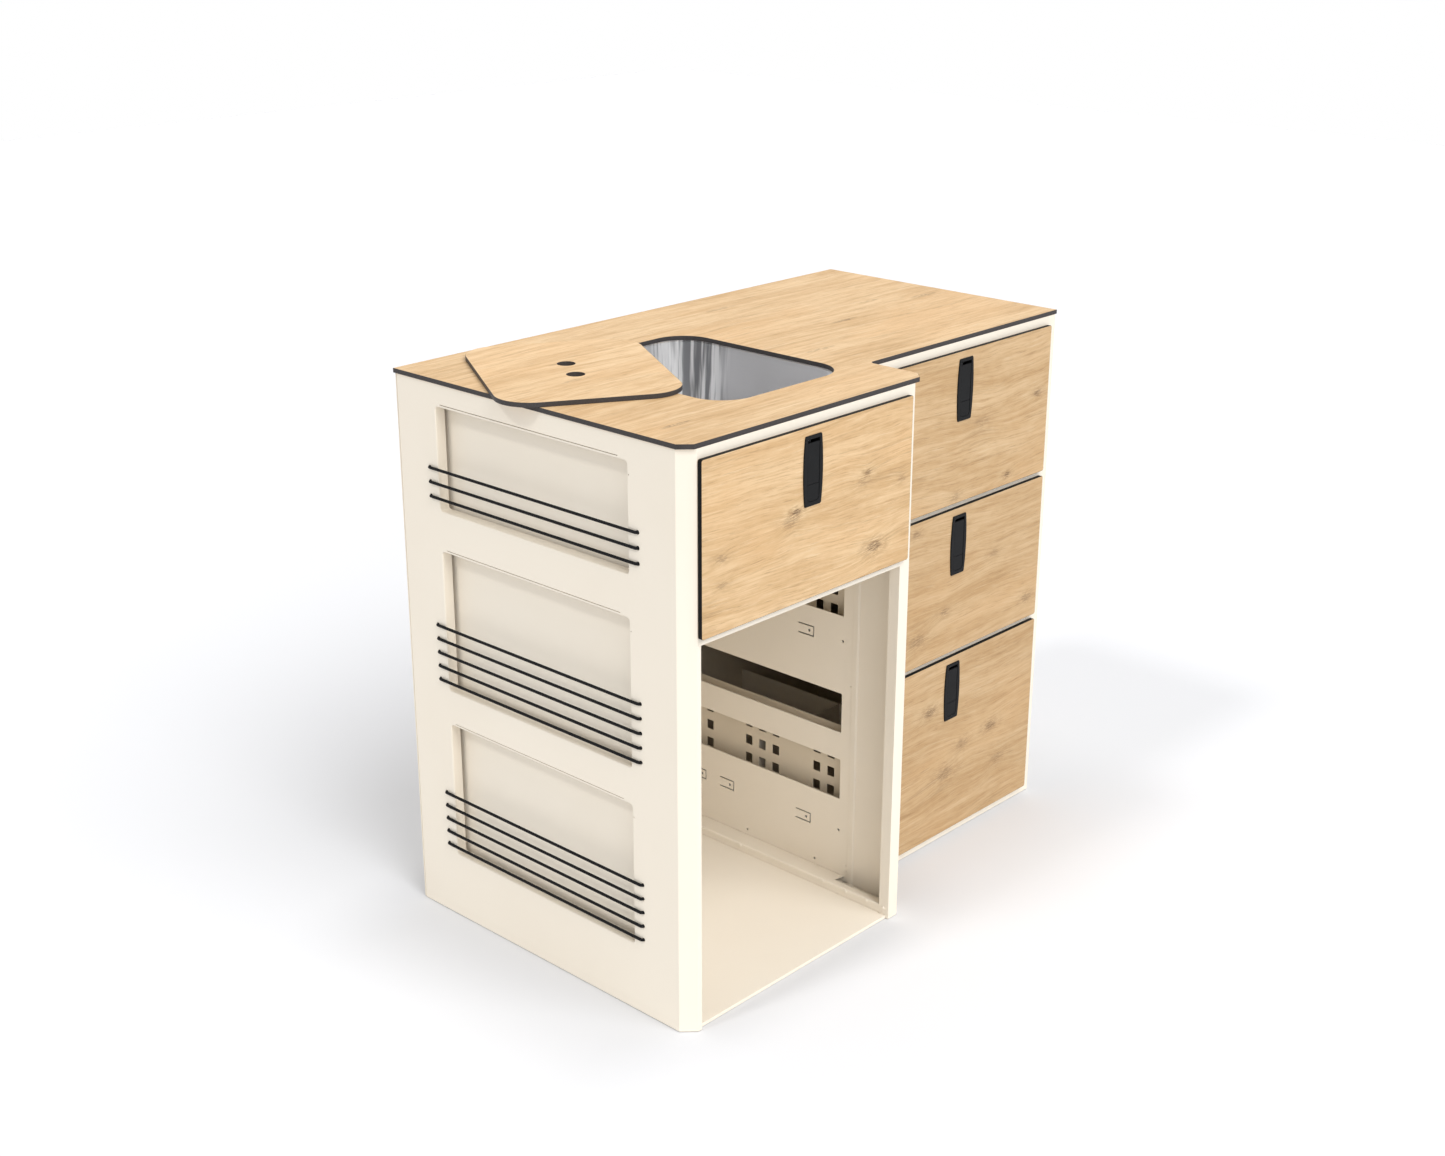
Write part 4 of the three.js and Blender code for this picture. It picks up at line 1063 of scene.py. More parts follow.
def left_side():
    """Side sheet: post return, front strip, chamfer, the long side with its niches, rear return."""
    low = BAYS["left"]["low"]
    line = [
        (low, POST_RETURN),
        (low, 0.0),
        (BODY_LEFT + CHAMFER, 0.0),
        (BODY_LEFT, CHAMFER),
        (BODY_LEFT, INNER_BACK),
        (BODY_LEFT + REAR_RETURN, INNER_BACK),
    ]
    fold = Fold(line)
    across = lambda y: fold.s(3, y - CHAMFER)
    step = fold.s(1, low - PRONG)
    outline = [
        (0.0, 0.0),
        (fold.length, 0.0),
        (fold.length, BODY_TOP),
        (step, BODY_TOP),
        (step, FASCIA_LOW),
        (0.0, FASCIA_LOW),
        (0.0, RAIL_Z[1]),
        (step, RAIL_Z[1]),
        (step, RAIL_Z[0]),
        (0.0, RAIL_Z[0]),
    ]
    holes = []
    niche_span = tuple(across(y) for y in NICHE_Y)
    lip = turned_rim(SHEET, NICHE_RING)
    small = plain_rim(SHEET, 0.4, 0.1)
    for niche, (bottom, top, _, _) in NICHES.items():
        holes.append((rounded(niche_span, (bottom, top), NICHE_RADIUS), lip))
        slit_z = span(top + SHEET + SLIT_RISE, SLIT)
        holes.append((rect(tuple(across(y) for y in SLIT_Y), slit_z), PUNCHED))
        for z in cord_rows(niche):
            holes += [(circle((across(y), z), CORD_HOLE, 20), small) for y in CORD_Y]
        holes.append((circle((across(NICHE_PIN_Y), top - NICHE_PIN_DROP), NICHE_PIN, 10), PUNCHED))
    stock = Stock()
    stock.plate((outline, PLAIN), holes, fold.along(2), fold.places())
    stock.steel("left_side_sheet", "side_panel_left")


def niche_trays():
    for niche, (bottom, top, _, _) in NICHES.items():
        outline = rounded(grown(NICHE_Y, TRAY_MARGIN), grown((bottom, top), TRAY_MARGIN), TRAY_CORNER)
        put = lambda a, b, t: (SKIN_INSIDE + TRAY_DEPTH - t, a, b)
        stock = Stock()
        stock.plate((outline, turned_rim(SHEET, TRAY_DEPTH)), [], put)
        stock.steel(f"tray_{niche}", f"niche_tray_{niche}")


def left_front():
    """Wall lap, chamfer and the whole front of the left bay, with the returns behind its openings."""
    high = BAYS["left"]["high"]
    line = [
        (WALL_LEFT - SEAT, SETBACK + SHEET + LAP_OVERLAP - LAP_JOGGLE),
        (WALL_LEFT - SEAT, SETBACK + SHEET - SEAT),
        (WALL_RIGHT, SETBACK - LAP_JOGGLE),
        (WALL_RIGHT, CHAMFER),
        (WALL_RIGHT - CHAMFER, 0.0),
        (PRONG, 0.0),
    ]
    fold = Fold(line)
    post, end = fold.s(4, WALL_RIGHT - CHAMFER - high), fold.length
    outline = [
        (0.0, 0.0),
        (post, 0.0),
        (post, RAIL_Z[0]),
        (end, RAIL_Z[0]),
        (end, RAIL_Z[1]),
        (post, RAIL_Z[1]),
        (post, FASCIA_LOW),
        (end, FASCIA_LOW),
        (end, BODY_TOP),
        (0.0, BODY_TOP),
    ]
    stock = Stock()
    stock.plate((outline, plain_rim(SHEET, 0.45, 0.0, 3)), [], fold.along(2), fold.places())
    for z in ((0.0, RAIL_Z[0]), (RAIL_Z[1], FASCIA_LOW)):
        stock.block((high, high + SHEET), (SHEET, POST_RETURN), z, 0.1)
    for top in (BODY_TOP, RAIL_Z[1]):
        stock.block((PRONG + 8.0, high + SHEET), (SHEET, RAIL_RETURN), (top - SHEET, top), 0.1)
    stock.steel("left_front_sheet", "front_frame_left")


def right_front():
    """Front of the right bay with three openings, bent round the right-hand corner."""
    bay = BAYS["right"]
    fold = Fold([(BODY_RIGHT, SETBACK + RAIL_RETURN), (BODY_RIGHT, SETBACK), (WALL_RIGHT + SEAT, SETBACK)])
    across = lambda x: fold.s(1, BODY_RIGHT - x)
    column = [d for d in DRAWERS if d["bay"] == "right"]
    ends = tuple(sorted((across(bay["low"]), across(bay["high"]))))
    holes = [(rounded(ends, (d["opening_low"], d["opening_high"]), 1.0, 2), FACED) for d in column]
    stock = Stock()
    outline = rect((0.0, fold.length), (0.0, BODY_TOP))
    stock.plate((outline, PLAIN), holes, fold.along(2), fold.places())
    behind = (SETBACK + SHEET, SETBACK + RAIL_RETURN)
    for top in (BODY_TOP, *(d["opening_low"] for d in column)):
        stock.block((bay["low"], bay["high"]), behind, (top - SHEET, top), 0.1)
    lap = (SETBACK + SHEET, SETBACK + FLANGE_LAP)
    stock.block((WALL_RIGHT + SEAT, WALL_RIGHT + SEAT + SHEET), lap, (0.0, BODY_TOP), 0.1)
    stock.steel("right_front_sheet", "front_frame_right")


def right_side():
    """Plain side sheet with a return behind, and the flange that laps the right front."""
    front = SETBACK + RAIL_RETURN + SEAT
    fold = Fold([(BODY_RIGHT - REAR_RETURN, INNER_BACK), (BODY_RIGHT, INNER_BACK), (BODY_RIGHT, front)])
    stock = Stock()
    outline = rect((0.0, fold.length), (0.0, BODY_TOP))
    stock.plate((outline, PLAIN), [], fold.along(2), fold.places())
    lap = (front - RAIL_RETURN + SHEET + SEAT, front + FLANGE_LAP)
    stock.block((BODY_RIGHT - 2 * SHEET - SEAT, BODY_RIGHT - SHEET - SEAT), lap, (6.0, BODY_TOP), 0.2)
    stock.steel("right_side_sheet", "side_panel_right")


def back():
    """Back sheet, riveted along its four edges."""
    stock = Stock()
    put = lambda a, b, t: (a, BODY_BACK - t, b)
    outline = rounded((BODY_LEFT, BODY_RIGHT), (0.0, BODY_TOP), 1.5, 3)
    stock.plate((outline, plain_rim(SHEET, 0.5, 0.2)), [], put)
    inset, pitch, spaces = 12.0, 108.0, 8
    heights = [inset + i * (BODY_TOP - 2 * inset) / spaces for i in range(spaces + 1)]
    points = [(x, BODY_BACK, z) for x in (BODY_LEFT + inset, BODY_RIGHT - inset) for z in heights]
    places = [BODY_LEFT + inset + i * pitch for i in range(1, 9)]
    points += [(x, BODY_BACK, z) for x in places for z in (inset, BODY_TOP - inset)]
    rivet_heads(stock, points, (0.0, 1.0, 0.0))
    stock.steel("back_sheet", "back_panel")


def floor_sheet():
    """One floor under both bays, with the hole beside the wall's foot."""
    bay = BAYS["left"]
    behind = CHAMFER + SHEET
    step, back_edge = SETBACK + FLANGE_LAP + SEAT, INNER_BACK - SHEET - SEAT
    outline = [
        (SKIN_INSIDE, behind),
        (bay["low"] + SEAT, behind),
        (bay["low"] + SEAT, FLOOR_SETBACK),
        (bay["high"] - SEAT, FLOOR_SETBACK),
        (bay["high"] - SEAT, behind),
        (LAP_FACE, behind),
        (LAP_FACE, step),
        (BAYS["right"]["wall_high"], step),
        (BAYS["right"]["wall_high"], back_edge),
        (SKIN_INSIDE, back_edge),
    ]
    hole = rounded(FLOOR_HOLE_X, FLOOR_HOLE_Y, 2.0)
    stock = Stock()
    put = lambda a, b, t: (a, b, FLOOR - t)
    rim = plain_rim(FLOOR, 1.0, 0.2, 3)
    stock.plate((outline, rim), [(hole, rim)], put)
    stock.steel("floor_sheet", "base_plate")


def middle_wall():
    """Wall between the bays, with windows, runner tabs punched on three sides and pilot holes."""
    front = SETBACK + SHEET + LAP_OVERLAP - LAP_JOGGLE + LAP_SHADOW
    rim = plain_rim(SHEET, 0.35, 0.2)
    holes = [(rounded(WINDOW_Y, z, WINDOW_RADIUS), rim) for z in WINDOWS]
    for z in TAB_HEIGHTS:
        low, high = span(z, TAB_WIDTH)
        for y in TAB_FRONTS:
            end, inner = y + TAB_LENGTH, y + TAB_SLOT
            slot = [(y, low), (end, low), (end, low + TAB_SLOT), (inner, low + TAB_SLOT)]
            slot += [(inner, high - TAB_SLOT), (end, high - TAB_SLOT), (end, high), (y, high)]
            holes.append((slot, PUNCHED))
            holes.append((circle((y + TAB_INSET, z), TAB_HOLE, 16), PUNCHED))
    holes += [(circle(place, PILOT, 16), PUNCHED) for place in PILOT_HOLES]
    holes += [(circle(place, PIN_HOLE, 12), PUNCHED) for place in PIN_HOLES]
    stock = Stock()
    outline = rect((front, INNER_BACK), (FLOOR + SEAT, BODY_TOP))
    stock.plate((outline, PLAIN), holes, lambda a, b, t: (WALL_LEFT + t, a, b))
    stock.steel("middle_wall", "partition_panel")


def foot_strip():
    """Rail at the foot of the middle wall, with its rivets and the rivet in the post."""
    high = BAYS["left"]["high"]
    line = [(high, FLOOR + SEAT), (high, RAIL_HEIGHT), (WALL_LEFT - SEAT, RAIL_WALL_HEIGHT)]
    fold = Fold(line)
    slope = math.hypot(WALL_LEFT - SEAT - high, RAIL_HEIGHT - RAIL_WALL_HEIGHT)
    narrow = fold.s(1, (WALL_LEFT - RAIL_CUT - high) * slope / (WALL_LEFT - SEAT - high))
    front, back_edge = POST_RETURN + SEAT, INNER_BACK - SHEET - SEAT
    outline = [
        (0.0, front),
        (narrow, front),
        (narrow, RAIL_CUT_BACK),
        (fold.length, RAIL_CUT_BACK),
        (fold.length, back_edge),
        (0.0, back_edge),
    ]
    stock = Stock()
    stock.plate((outline, PLAIN), [], fold.along(1), fold.places())
    points = [(high, y, RIVET_Z) for y in (POST_RIVET, *RIVETS)]
    rivet_heads(stock, points, (-1.0, 0.0, 0.0))
    stock.steel("foot_strip", "foot_rail")


# Cords


def lace_route(niche):
    """Across the outside, in through a hole, down behind the skin and out of the next hole."""
    outside, inside = BODY_LEFT - SEAT - CORD_RADIUS, SKIN_INSIDE + CORD_RADIUS
    bend = (inside - outside) / 2
    middle = outside + bend
    knot = SKIN_INSIDE + KNOT_REACH
    rows = cord_rows(niche)[::-1]
    turns = [math.pi / 2 * i / 6 for i in range(7)]

    def outer(turns, y, along, z):
        """The bend between a hole and the straight run over the skin."""
        return [(middle - bend * math.sin(t), y + along * bend * (1 - math.cos(t)), z) for t in turns]

    def inner(turns, y, z, upwards):
        """The bend between a hole and the way down behind the skin."""
        return [(middle + bend * math.cos(t), y, z + upwards * bend * (1 - math.sin(t))) for t in turns]

    route = []
    for row, z in enumerate(rows):
        start, end = CORD_Y if row % 2 == 0 else CORD_Y[::-1]
        along = math.copysign(1.0, end - start)
        route += inner(turns[:-1], start, z, 1.0) if row else [(knot, start, z), (inside, start, z)]
        route += outer(turns, start, along, z)
        route += [(outside, start + (end - start) * share, z) for share in (0.2, 0.4, 0.6, 0.8)]
        route += outer(turns[::-1], end, -along, z)
        if row + 1 < len(rows):
            route += inner(turns[::-1][1:], end, z, -1.0)
        else:
            route += [(inside, end, z), (knot, end, z)]
    return route


def overhand_knot(centre):
    """A tight knot that stops the cord behind its last hole."""
    turns = [2 * math.pi * i / 60 for i in range(60)]
    return [
        (
            centre[0] + KNOT_SIZE * math.sin(3 * t),
            centre[1] + KNOT_SIZE * (math.sin(t) + 2 * math.sin(2 * t)),
            centre[2] + KNOT_SIZE * (math.cos(t) - 2 * math.cos(2 * t)),
        )
        for t in turns
    ]


def laces():
    """The three cords. Each is one open line with a closed knot at both ends."""
    for niche in NICHES:
        curve = bpy.data.curves.new("route", "CURVE")
        curve.dimensions = "3D"
        route = lace_route(niche)
        lines = [(route, False), (overhand_knot(route[0]), True), (overhand_knot(route[-1]), True)]
        for points, closed in lines:
            spline = curve.splines.new("POLY")
            spline.points.add(len(points) - 1)
            spline.use_cyclic_u = closed
            for point, place in zip(spline.points, points):
                point.co = (*in_frame(place), 1.0)
        mesh = LACE_TREE.made(curve, {"Radius": CORD_RADIUS * MM, "Sides": LACE_SIDES}, "lace")
        mesh.name = f"lace_{niche}"
        carried(linked(f"lace_{niche}", mesh), "carcass", [f"elastic_cord_{niche}"])


# Drawers


def place_drawers():
    """Hangs the fronts of each bay below one another, from the fascia down."""
    hang = {"left": FASCIA_LOW + FRONT_OVERLAP, "right": FASCIA_LOW + FRONT_OVERLAP}
    for drawer in DRAWERS:
        drawer["high"] = hang[drawer["bay"]]
        drawer["low"] = drawer["high"] - drawer["height"]
        hang[drawer["bay"]] = drawer["low"] - FRONT_GAP
        drawer["opening_low"] = drawer["low"] + FRONT_OVERLAP
        drawer["opening_high"] = drawer["high"] - FRONT_OVERLAP


def drawer(spec):
    """One drawer: front, box, runners and latch, and the divider in the deepest."""
    name, bay = spec["name"], BAYS[spec["bay"]]
    body = f"{name}_drawer"
    centre = (bay["low"] + bay["high"]) / 2
    face_back = bay["face"] - FRONT_STANDOFF
    face_front = face_back - BOARD
    latch_top = spec["high"] - LATCH_DROP
    case_z = (latch_top - LATCH_HEIGHT + CASE_INSET, latch_top - CASE_INSET)
    case_pass = (grown(span(centre, CASE_WIDTH), CASE_CLEARANCE), grown(case_z, CASE_CLEARANCE))

    front_x = grown((bay["low"], bay["high"]), FRONT_OVERLAP)
    outline = rounded(front_x, (spec["low"], spec["high"]), FRONT_RADIUS)
    put = lambda a, b, t: (a, face_back - t, b)
    node, decor = f"{name}_drawer_front", f"oak {name}"
    board(f"{name}_front_board", body, node, outline, [rect(*case_pass)], put, decor, "black core")

    half = (bay["high"] - bay["low"]) / 2 - PASS_GAP - SLIDE_REACH - SEAT
    box_x, box_y = (centre - half, centre + half), (face_back + SEAT, face_back + SEAT + BOX_DEPTH)
    low = spec["opening_low"] + BOX_LIFT
    box_z = (low, low + spec["box"])
    stock = drawer_box(spec, box_x, box_y, box_z, case_pass)
    stock.piece(f"{name}_box", body, [f"{name}_drawer_box"], ["drawer"], "drawer_steel")
    if name == "bottom":
        divider(body, box_x, box_y, box_z)
    runners(name, bay, centre, half, span(box_z[0] + spec["runner"], RUNNER_HEIGHT))
    latch(name, centre, face_front, latch_top, case_z)


def drawer_box(spec, box_x, box_y, box_z, case_pass):
    """Back, floor and front from one bent sheet, between two perforated sides."""
    line = [(box_y[1], box_z[1]), (box_y[1], box_z[0]), (box_y[0], box_z[0]), (box_y[0], box_z[1])]
    fold = Fold(line, BOX_SHEET)
    inner_x = grown(box_x, -BOX_SHEET)
    outline = [(0.0, inner_x[0]), (fold.length, inner_x[0]), (fold.length, inner_x[1]), (0.0, inner_x[1])]
    (pass_low, pass_high), (case_low, _) = case_pass
    if case_low < box_z[1]:
        notch = fold.s(2, case_low - box_z[0])
        outline[2:2] = [(fold.length, pass_low), (notch, pass_low)]
        outline[4:4] = [(notch, pass_high), (fold.length, pass_high)]
    stock = Stock()
    stock.plate((outline, plain_rim(BOX_SHEET, 0.25, 0.25)), [], fold.along(0), fold.places())
    sizes = {
        "Length": BOX_DEPTH,
        "Height": box_z[1] - box_z[0],
        "Thickness": BOX_SHEET,
        "Hole Width": HOLE_WIDTH,
        "Hole Height": HOLE_HEIGHT,
        "Hole Radius": HOLE_RADIUS,
        "Column Pitch": HOLE_PITCH,
        "Row Pitch": HOLE_ROW_PITCH,
        "Group Pitch": GROUP_PITCH,
        "First Group": FIRST_GROUP,
        "Drop": spec["drop"],
        "Columns": GROUP_COLUMNS,
        "Rows": spec["rows"],
        "Groups": GROUPS,
    }
    side = PERFORATED_TREE.made(bpy.data.meshes.new("blank"), sizes, "drawer")
    for x in (box_x[0], box_x[1] - BOX_SHEET):
        stock.mesh(side, Matrix(((0, 0, 1, x), (1, 0, 0, box_y[0]), (0, 1, 0, box_z[0]), (0, 0, 0, 1))))
    return stock


def divider(body, box_x, box_y, box_z):
    """Two sheets that cross in the middle of the box."""
    inner_x, inner_y = grown(box_x, -BOX_SHEET - SEAT), grown(box_y, -BOX_SHEET - SEAT)
    low = box_z[0] + BOX_SHEET + SEAT
    z = (low, low + DIVIDER_HEIGHT)
    middle = (sum(inner_x) / 2, sum(inner_y) / 2)
    stock = Stock()
    stock.block(span(middle[0], BOX_SHEET), inner_y, z, 0.3)
    stock.block(inner_x, span(middle[1], BOX_SHEET), z, 0.3)
    stock.piece("divider_sheets", body, ["drawer_divider"], ["cream"], "cream_steel")


def runners(name, bay, centre, half, z):
    """Both sides of a drawer: a channel on brackets on the wall, and the slide on the box inside it."""
    low, high = z
    channel, box = half + SEAT + RUNNER_DEPTH, half + SEAT
    y = (bay["face"] + RUNNER_SETBACK, bay["face"] + RUNNER_SETBACK + RUNNER_LENGTH)
    inner_low, inner_high = low + RUNNER_SHEET + SEAT, high - RUNNER_SHEET - SEAT
    for side, word in ((-1, "left"), (1, "right")):
        wall = centre - bay["wall_low"] if side < 0 else bay["wall_high"] - centre
        shapes = {
            "fixed": [
                (channel - CHANNEL_REACH, high),
                (channel, high),
                (channel, low),
                (channel - CHANNEL_REACH, low),
            ],
            "moving": [
                (box + SLIDE_REACH, inner_low),
                (box, inner_low),
                (box, inner_high),
                (box + SLIDE_REACH, inner_high),
            ],
        }
        for kind, line in shapes.items():
            fold = Fold(line, RUNNER_SHEET, RUNNER_BEND)

            def put(s, along, t, fold=fold):
                a, height = fold.at(s, t)
                return (centre + side * a, along, height)

            stock = Stock()
            rim = plain_rim(RUNNER_SHEET, 0.25, 0.25)
            stock.plate((rect((0.0, fold.length), y), rim), [], put, fold.places())
            if kind == "fixed":
                bracket = tuple(sorted((centre + side * channel, centre + side * wall)))
                near, far = BRACKET_INSET
                for share in BRACKET_SHARES:
                    start = y[0] + RUNNER_LENGTH * share
                    reach = (start, start + BRACKET_LENGTH)
                    stock.block(bracket, reach, (low + near, low + far), 0.2)
                    stock.block(bracket, reach, (high - far, high - near), 0.2)
            owner = "carcass" if kind == "fixed" else f"{name}_drawer"
            node = f"{name}_runner_{kind}_{word}"
            stock.piece(f"{name}_channel_{kind}_{word}", owner, [node], ["zinc"], "zinc_steel")


def cup(across, up, radius):
    """A rectangle with its two lower corners rounded."""
    (left, right), (low, high) = across, up
    return [
        *arc((left + radius, low + radius), radius, 0.5, 0.75, ARC),
        *arc((right - radius, low + radius), radius, 0.75, 1, ARC),
        (right, high),
        (left, high),
    ]


def latch(name, centre, face, top, case_z):
    """Bezel with its case, paddle and push button."""
    bezel_front, bezel_back = face - LATCH_PROUD, face - SEAT
    bottom = top - LATCH_HEIGHT
    window_x = span(centre, WINDOW_WIDTH)
    window_z = (bottom + WINDOW_BOTTOM, top - WINDOW_TOP)

    def finished(stock, piece, body, part):
        node = f"{name}_latch_{part}"
        stock.piece(f"{name}_{piece}", f"{name}_{body}", [node], ["black"], "latch_black", 40.0)

    # The bezel is widest in its middle
    steps = 14
    barrel = []
    for sign in (1, -1):
        for i in range(steps + 1):
            share = 2 * i / steps - 1
            half = (LATCH_MIDDLE - (LATCH_MIDDLE - LATCH_END) * share * share) / 2
            barrel.append((centre + sign * half, (top + bottom) / 2 + sign * share * LATCH_HEIGHT / 2))
    corners = [LATCH_CORNER if i % (steps + 1) in (0, steps) else 0 for i in range(len(barrel))]
    thickness = bezel_back - bezel_front
    mouth = (cup(window_x, window_z, MOUTH_RADIUS), plain_rim(thickness, 0.4, 0.1, 3))
    stock = Stock()
    put = lambda a, b, t: (a, bezel_front + t, b)
    stock.plate((eased(barrel, corners), plain_rim(thickness, LATCH_ROUND, 0.1, 4)), [mouth], put)
    case_back = face + CASE_DEPTH
    case = rounded(span(centre, CASE_WIDTH), case_z, CASE_CORNER)
    case_rim = turned_rim(CASE_WALL, case_back - bezel_back, 0.5, 0.1)
    stock.plate((case, case_rim), [], lambda a, b, t: (a, case_back - t, b))
    finished(stock, "bezel", "drawer", "bezel")

    plane = bezel_front + LATCH_RECESS
    paddle_x = grown(window_x, -PADDLE_GAP)
    split = top - PADDLE_SPLIT
    paddle = rounded(paddle_x, (split, window_z[1] - FINGER_SLOT), 0.8, 3)
    put = lambda a, b, t: (a, plane + t, b)
    stock = Stock()
    stock.plate((paddle, plain_rim(PADDLE_THICKNESS, 0.5, 0.3, 3)), [], put)
    finished(stock, "paddle_plate", "paddle", "paddle")

    button_z = (window_z[0] + PADDLE_GAP, split - SPLIT_GAP)
    button = cup(paddle_x, button_z, MOUTH_RADIUS - PADDLE_GAP)
    stock = Stock()
    stock.plate((button, plain_rim(BUTTON_THICKNESS, 0.45, 0.2, 3)), [], put)
    stem_y = (plane + BUTTON_THICKNESS, plane + BUTTON_THICKNESS + STEM_LENGTH)
    stock.block(span(centre, STEM_WIDTH), stem_y, span(sum(button_z) / 2, STEM_WIDTH), 0.3)
    finished(stock, "button_cap", "button", "button")
    bolt = frame["nodes"][f"{name}_latch_bolt"]
    bolt.data.materials.clear()
    bolt.data.materials.append(FINISHES["zinc"])


# Setting


def camera():
    """Fitted to the photograph: azimuth and elevation of the view, its roll, place and focal length."""
    azimuth, elevation, roll = (math.radians(a) for a in (46.987, 20.297, 0.059))
    ahead = Vector((
        math.sin(azimuth) * math.cos(elevation),
        math.cos(azimuth) * math.cos(elevation),
        -math.sin(elevation),
    ))
    right = ahead.cross(Vector((0, 0, 1))).normalized()
    up = right.cross(ahead)
    c, s = math.cos(roll), math.sin(roll)
    across, over = right * c + up * s, up * c - right * s
    data = bpy.data.cameras.new("camera")
    data.lens, data.sensor_width, data.sensor_fit = 49.206, 36.0, "HORIZONTAL"
    data.clip_end = 60.0
    made = linked("camera", data)
    turn = Matrix((across, over, -ahead)).transposed().to_4x4()
    made.matrix_world = Matrix.Translation((-2.24365, -1.99185, 1.6018)) @ turn
    bpy.context.scene.camera = made


def sun(name, travel, strength, width):
    """A lamp far away. travel is the way its light goes, width its size in degrees."""
    data = bpy.data.lights.new(name, "SUN")
    data.energy, data.angle = strength, math.radians(width)
    made = linked(name, data)
    made.rotation_mode = "QUATERNION"
    made.rotation_quaternion = Vector(travel).to_track_quat("-Z", "Y")


def seen_or_lit(tree, seen, lit):
    """One shader for what the camera, metal and glass see, another for what lights the object."""
    rays = tree.node("ShaderNodeLightPath")
    outputs = rays.socket.node.outputs
    camera_ray, glossy, through = (
        Term(tree, outputs[f"Is {kind} Ray"]) for kind in ("Camera", "Glossy", "Transmission")
    )
    view = camera_ray + glossy + through
    return tree.node("ShaderNodeMixShader", values={0: view, 1: lit, 2: seen})


def setting():
    """White floor and sky, three suns, and a weak lamp in the left bay."""
    reach, level, glow = 9.0, -0.0012, 0.03
    white, black = (1.0, 1.0, 1.0, 1.0), (0.0, 0.0, 0.0, 1.0)
    mesh = bpy.data.meshes.new("floor")
    corners = [(x * reach, y * reach, level) for x, y in ((-1, -1), (1, -1), (1, 1), (-1, 1))]
    mesh.from_pydata(corners, [], [(0, 1, 2, 3)])
    ground = linked("floor", mesh)
    finish = Finish("white floor")
    x, y = finish.x, finish.y

    def patch(left, right, front, back):
        """1 in a soft-edged rectangle, 0 round it. A side is the places where 0 and where 1 is reached."""
        across = finish.step(x, *left) * finish.step(x, *right)
        return across * finish.step(y, *front) * finish.step(y, *back)

    # A deeper shade under the left bay and in front of the right one
    beside = patch((-0.8, -0.5), (0.2, -0.1), (-0.42, -0.22), (0.42, 0.22))
    before = patch((-0.05, 0.05), (0.8, 0.4), (-0.42, -0.22), (0.3, 0.0))
    shade = finish.mix(beside * 0.18 + before * 0.12, (0.795, 0.8, 0.82, 1.0), black)
    matt = finish.node("ShaderNodeBsdfDiffuse", values={"Color": shade})
    lift = finish.node("ShaderNodeEmission", values={"Color": white, "Strength": glow})
    seen = finish.node("ShaderNodeAddShader", values={0: matt, 1: lift})
    lit = finish.node("ShaderNodeBsdfDiffuse", values={"Color": (0.8, 0.8, 0.8, 1.0)})
    shader = seen_or_lit(finish, seen, lit)
    finish.node("ShaderNodeOutputMaterial", values={"Surface": shader})
    mesh.materials.append(finish.material)

    world = bpy.data.worlds.new("studio")
    world.use_nodes = True
    bpy.context.scene.world = world
    sky = Tree(world.node_tree)
    seen = sky.node("ShaderNodeBackground", values={"Color": white, "Strength": 1.0})
    lit = sky.node("ShaderNodeBackground", values={"Color": white, "Strength": 0.56})
    sky.node("ShaderNodeOutputWorld", values={"Surface": seen_or_lit(sky, seen, lit)})

    sun("key", (28.2, -5.0, -36.0), 0.62, 8.0)
    sun("high fill", (0.0, 0.62, -0.78), 1.75, 40.0)
    sun("front fill", (0.3, 0.8, -0.5), 0.6, 40.0)

    lamp = bpy.data.lights.new("bay fill", "AREA")
    lamp.shape = "RECTANGLE"
    lamp.size, lamp.size_y, lamp.energy = 0.5, 0.5, 0.24
    inside = linked("bay fill", lamp)
    inside.location = (-0.455, 0.0, 0.32)
    inside.rotation_euler = Vector((1.0, 0.0, 0.0)).to_track_quat("-Z", "Y").to_euler()
    inside.visible_camera = inside.visible_glossy = False


# The pod

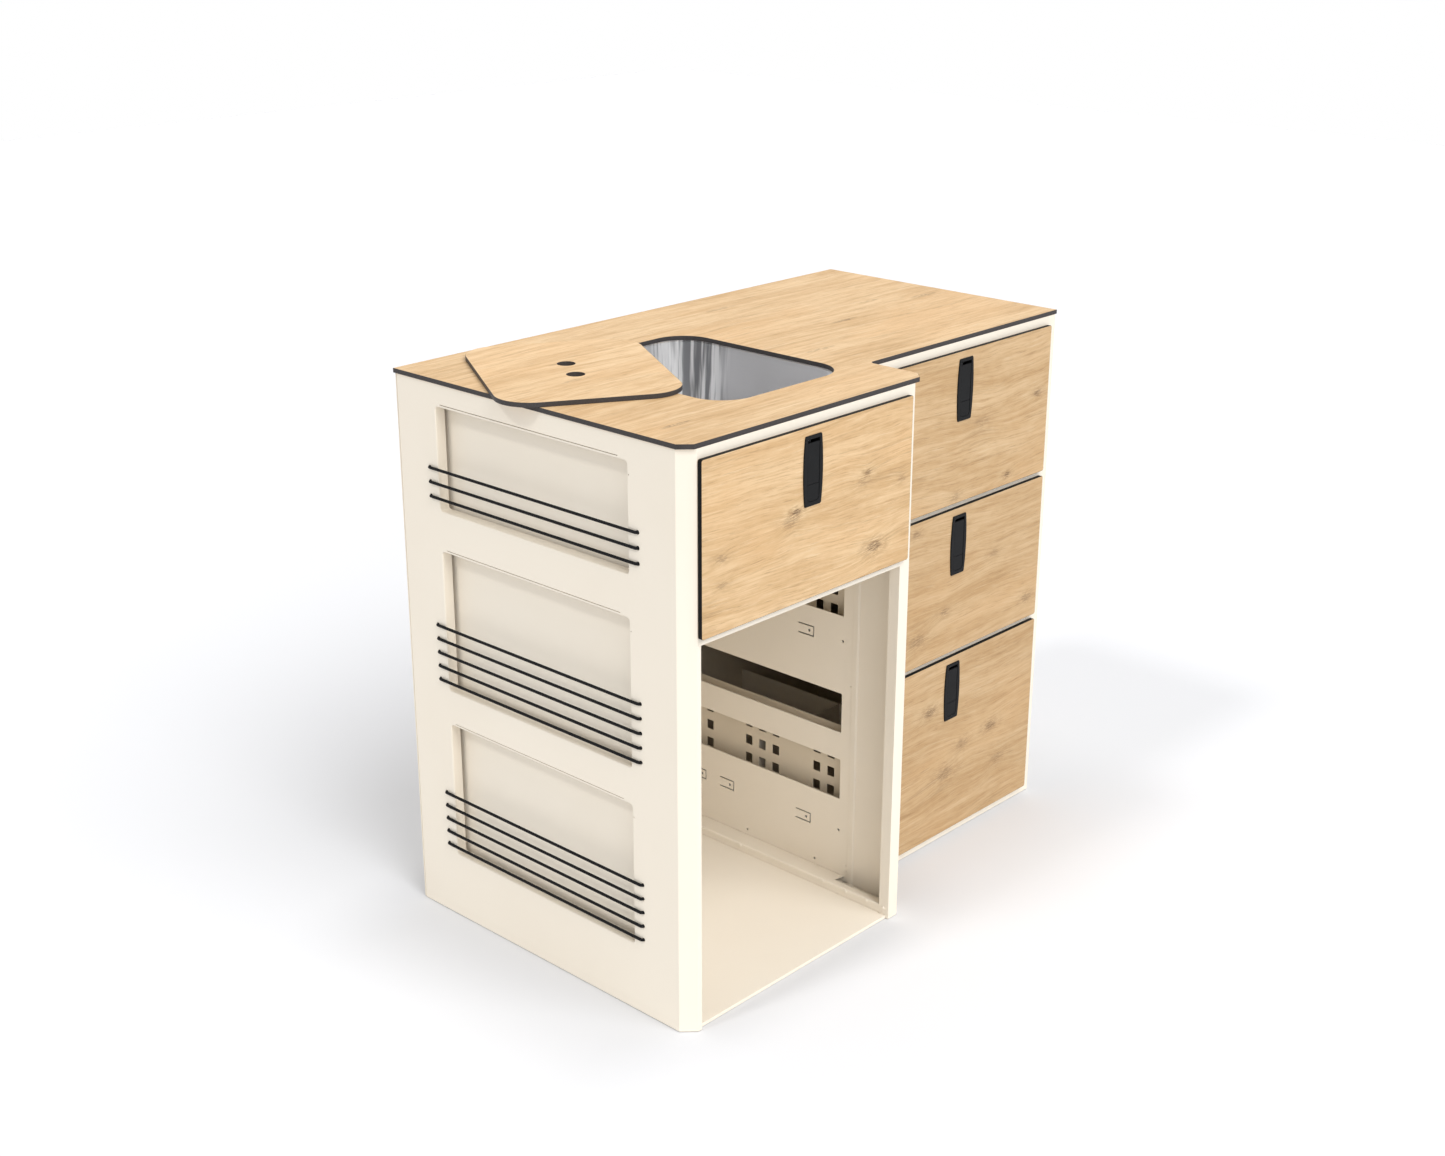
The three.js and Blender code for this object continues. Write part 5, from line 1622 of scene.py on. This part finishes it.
place_drawers()

# Knots of each front, as oak() takes them
KNOTS = {
    "sink": [
        (-0.2890, 0.7450, 0.006, 1.0),
        (-0.3010, 0.7330, 0.012, 0.35),
        (-0.1339, 0.7675, 0.005, 0.6),
        (-0.1430, 0.7560, 0.010, 0.3),
        (-0.1159, 0.6511, 0.011, 0.75),
        (-0.4402, 0.7159, 0.008, 0.4),
        (-0.4380, 0.6780, 0.007, 0.3),
        (-0.0560, 0.7400, 0.007, 0.3),
    ],
    "top": [
        (0.4457, 0.7510, 0.008, 0.6),
        (0.3689, 0.6275, 0.006, 0.8),
        (0.2906, 0.7330, 0.014, 0.25),
        (0.2260, 0.6212, 0.009, 0.35),
    ],
    "middle": [
        (0.4461, 0.3878, 0.010, 0.55),
        (0.3417, 0.4960, 0.009, 0.3),
        (0.1275, 0.5813, 0.008, 0.45),
        (0.2122, 0.4269, 0.009, 0.4),
        (0.1386, 0.3957, 0.014, 0.4),
    ],
    "bottom": [
        (0.1825, 0.2550, 0.010, 0.7),
        (0.3579, 0.1747, 0.011, 0.6),
        (0.2765, 0.1675, 0.012, 0.4),
        (0.2321, 0.1266, 0.015, 0.45),
        (0.3835, 0.1051, 0.013, 0.35),
    ],
}
# How far each front's oak is mixed towards a deeper colour, and what sets the grain of each front apart
DEEPER = {"sink": 0.16, "top": 0.33, "middle": 0.37, "bottom": 0.4}
FIRST_SEED, SEED_STEP = 11.3, 4.7
for number, spec in enumerate(DRAWERS):
    title = spec["name"]
    seed = FIRST_SEED + SEED_STEP * number
    FINISHES[f"oak {title}"] = oak(f"oak {title}", "z", seed, KNOTS[title], deeper=DEEPER[title])
PERFORATED_TREE, LACE_TREE, RIVET_TREE = perforated_tree(), lace_tree(), rivet_tree()

camera()
setting()
worktop()
lid()
bowl()
waste()
left_side()
niche_trays()
left_front()
right_front()
right_side()
back()
floor_sheet()
middle_wall()
foot_strip()
laces()
for spec in DRAWERS:
    drawer(spec)

bpy.context.scene.view_settings.view_transform = "Standard"
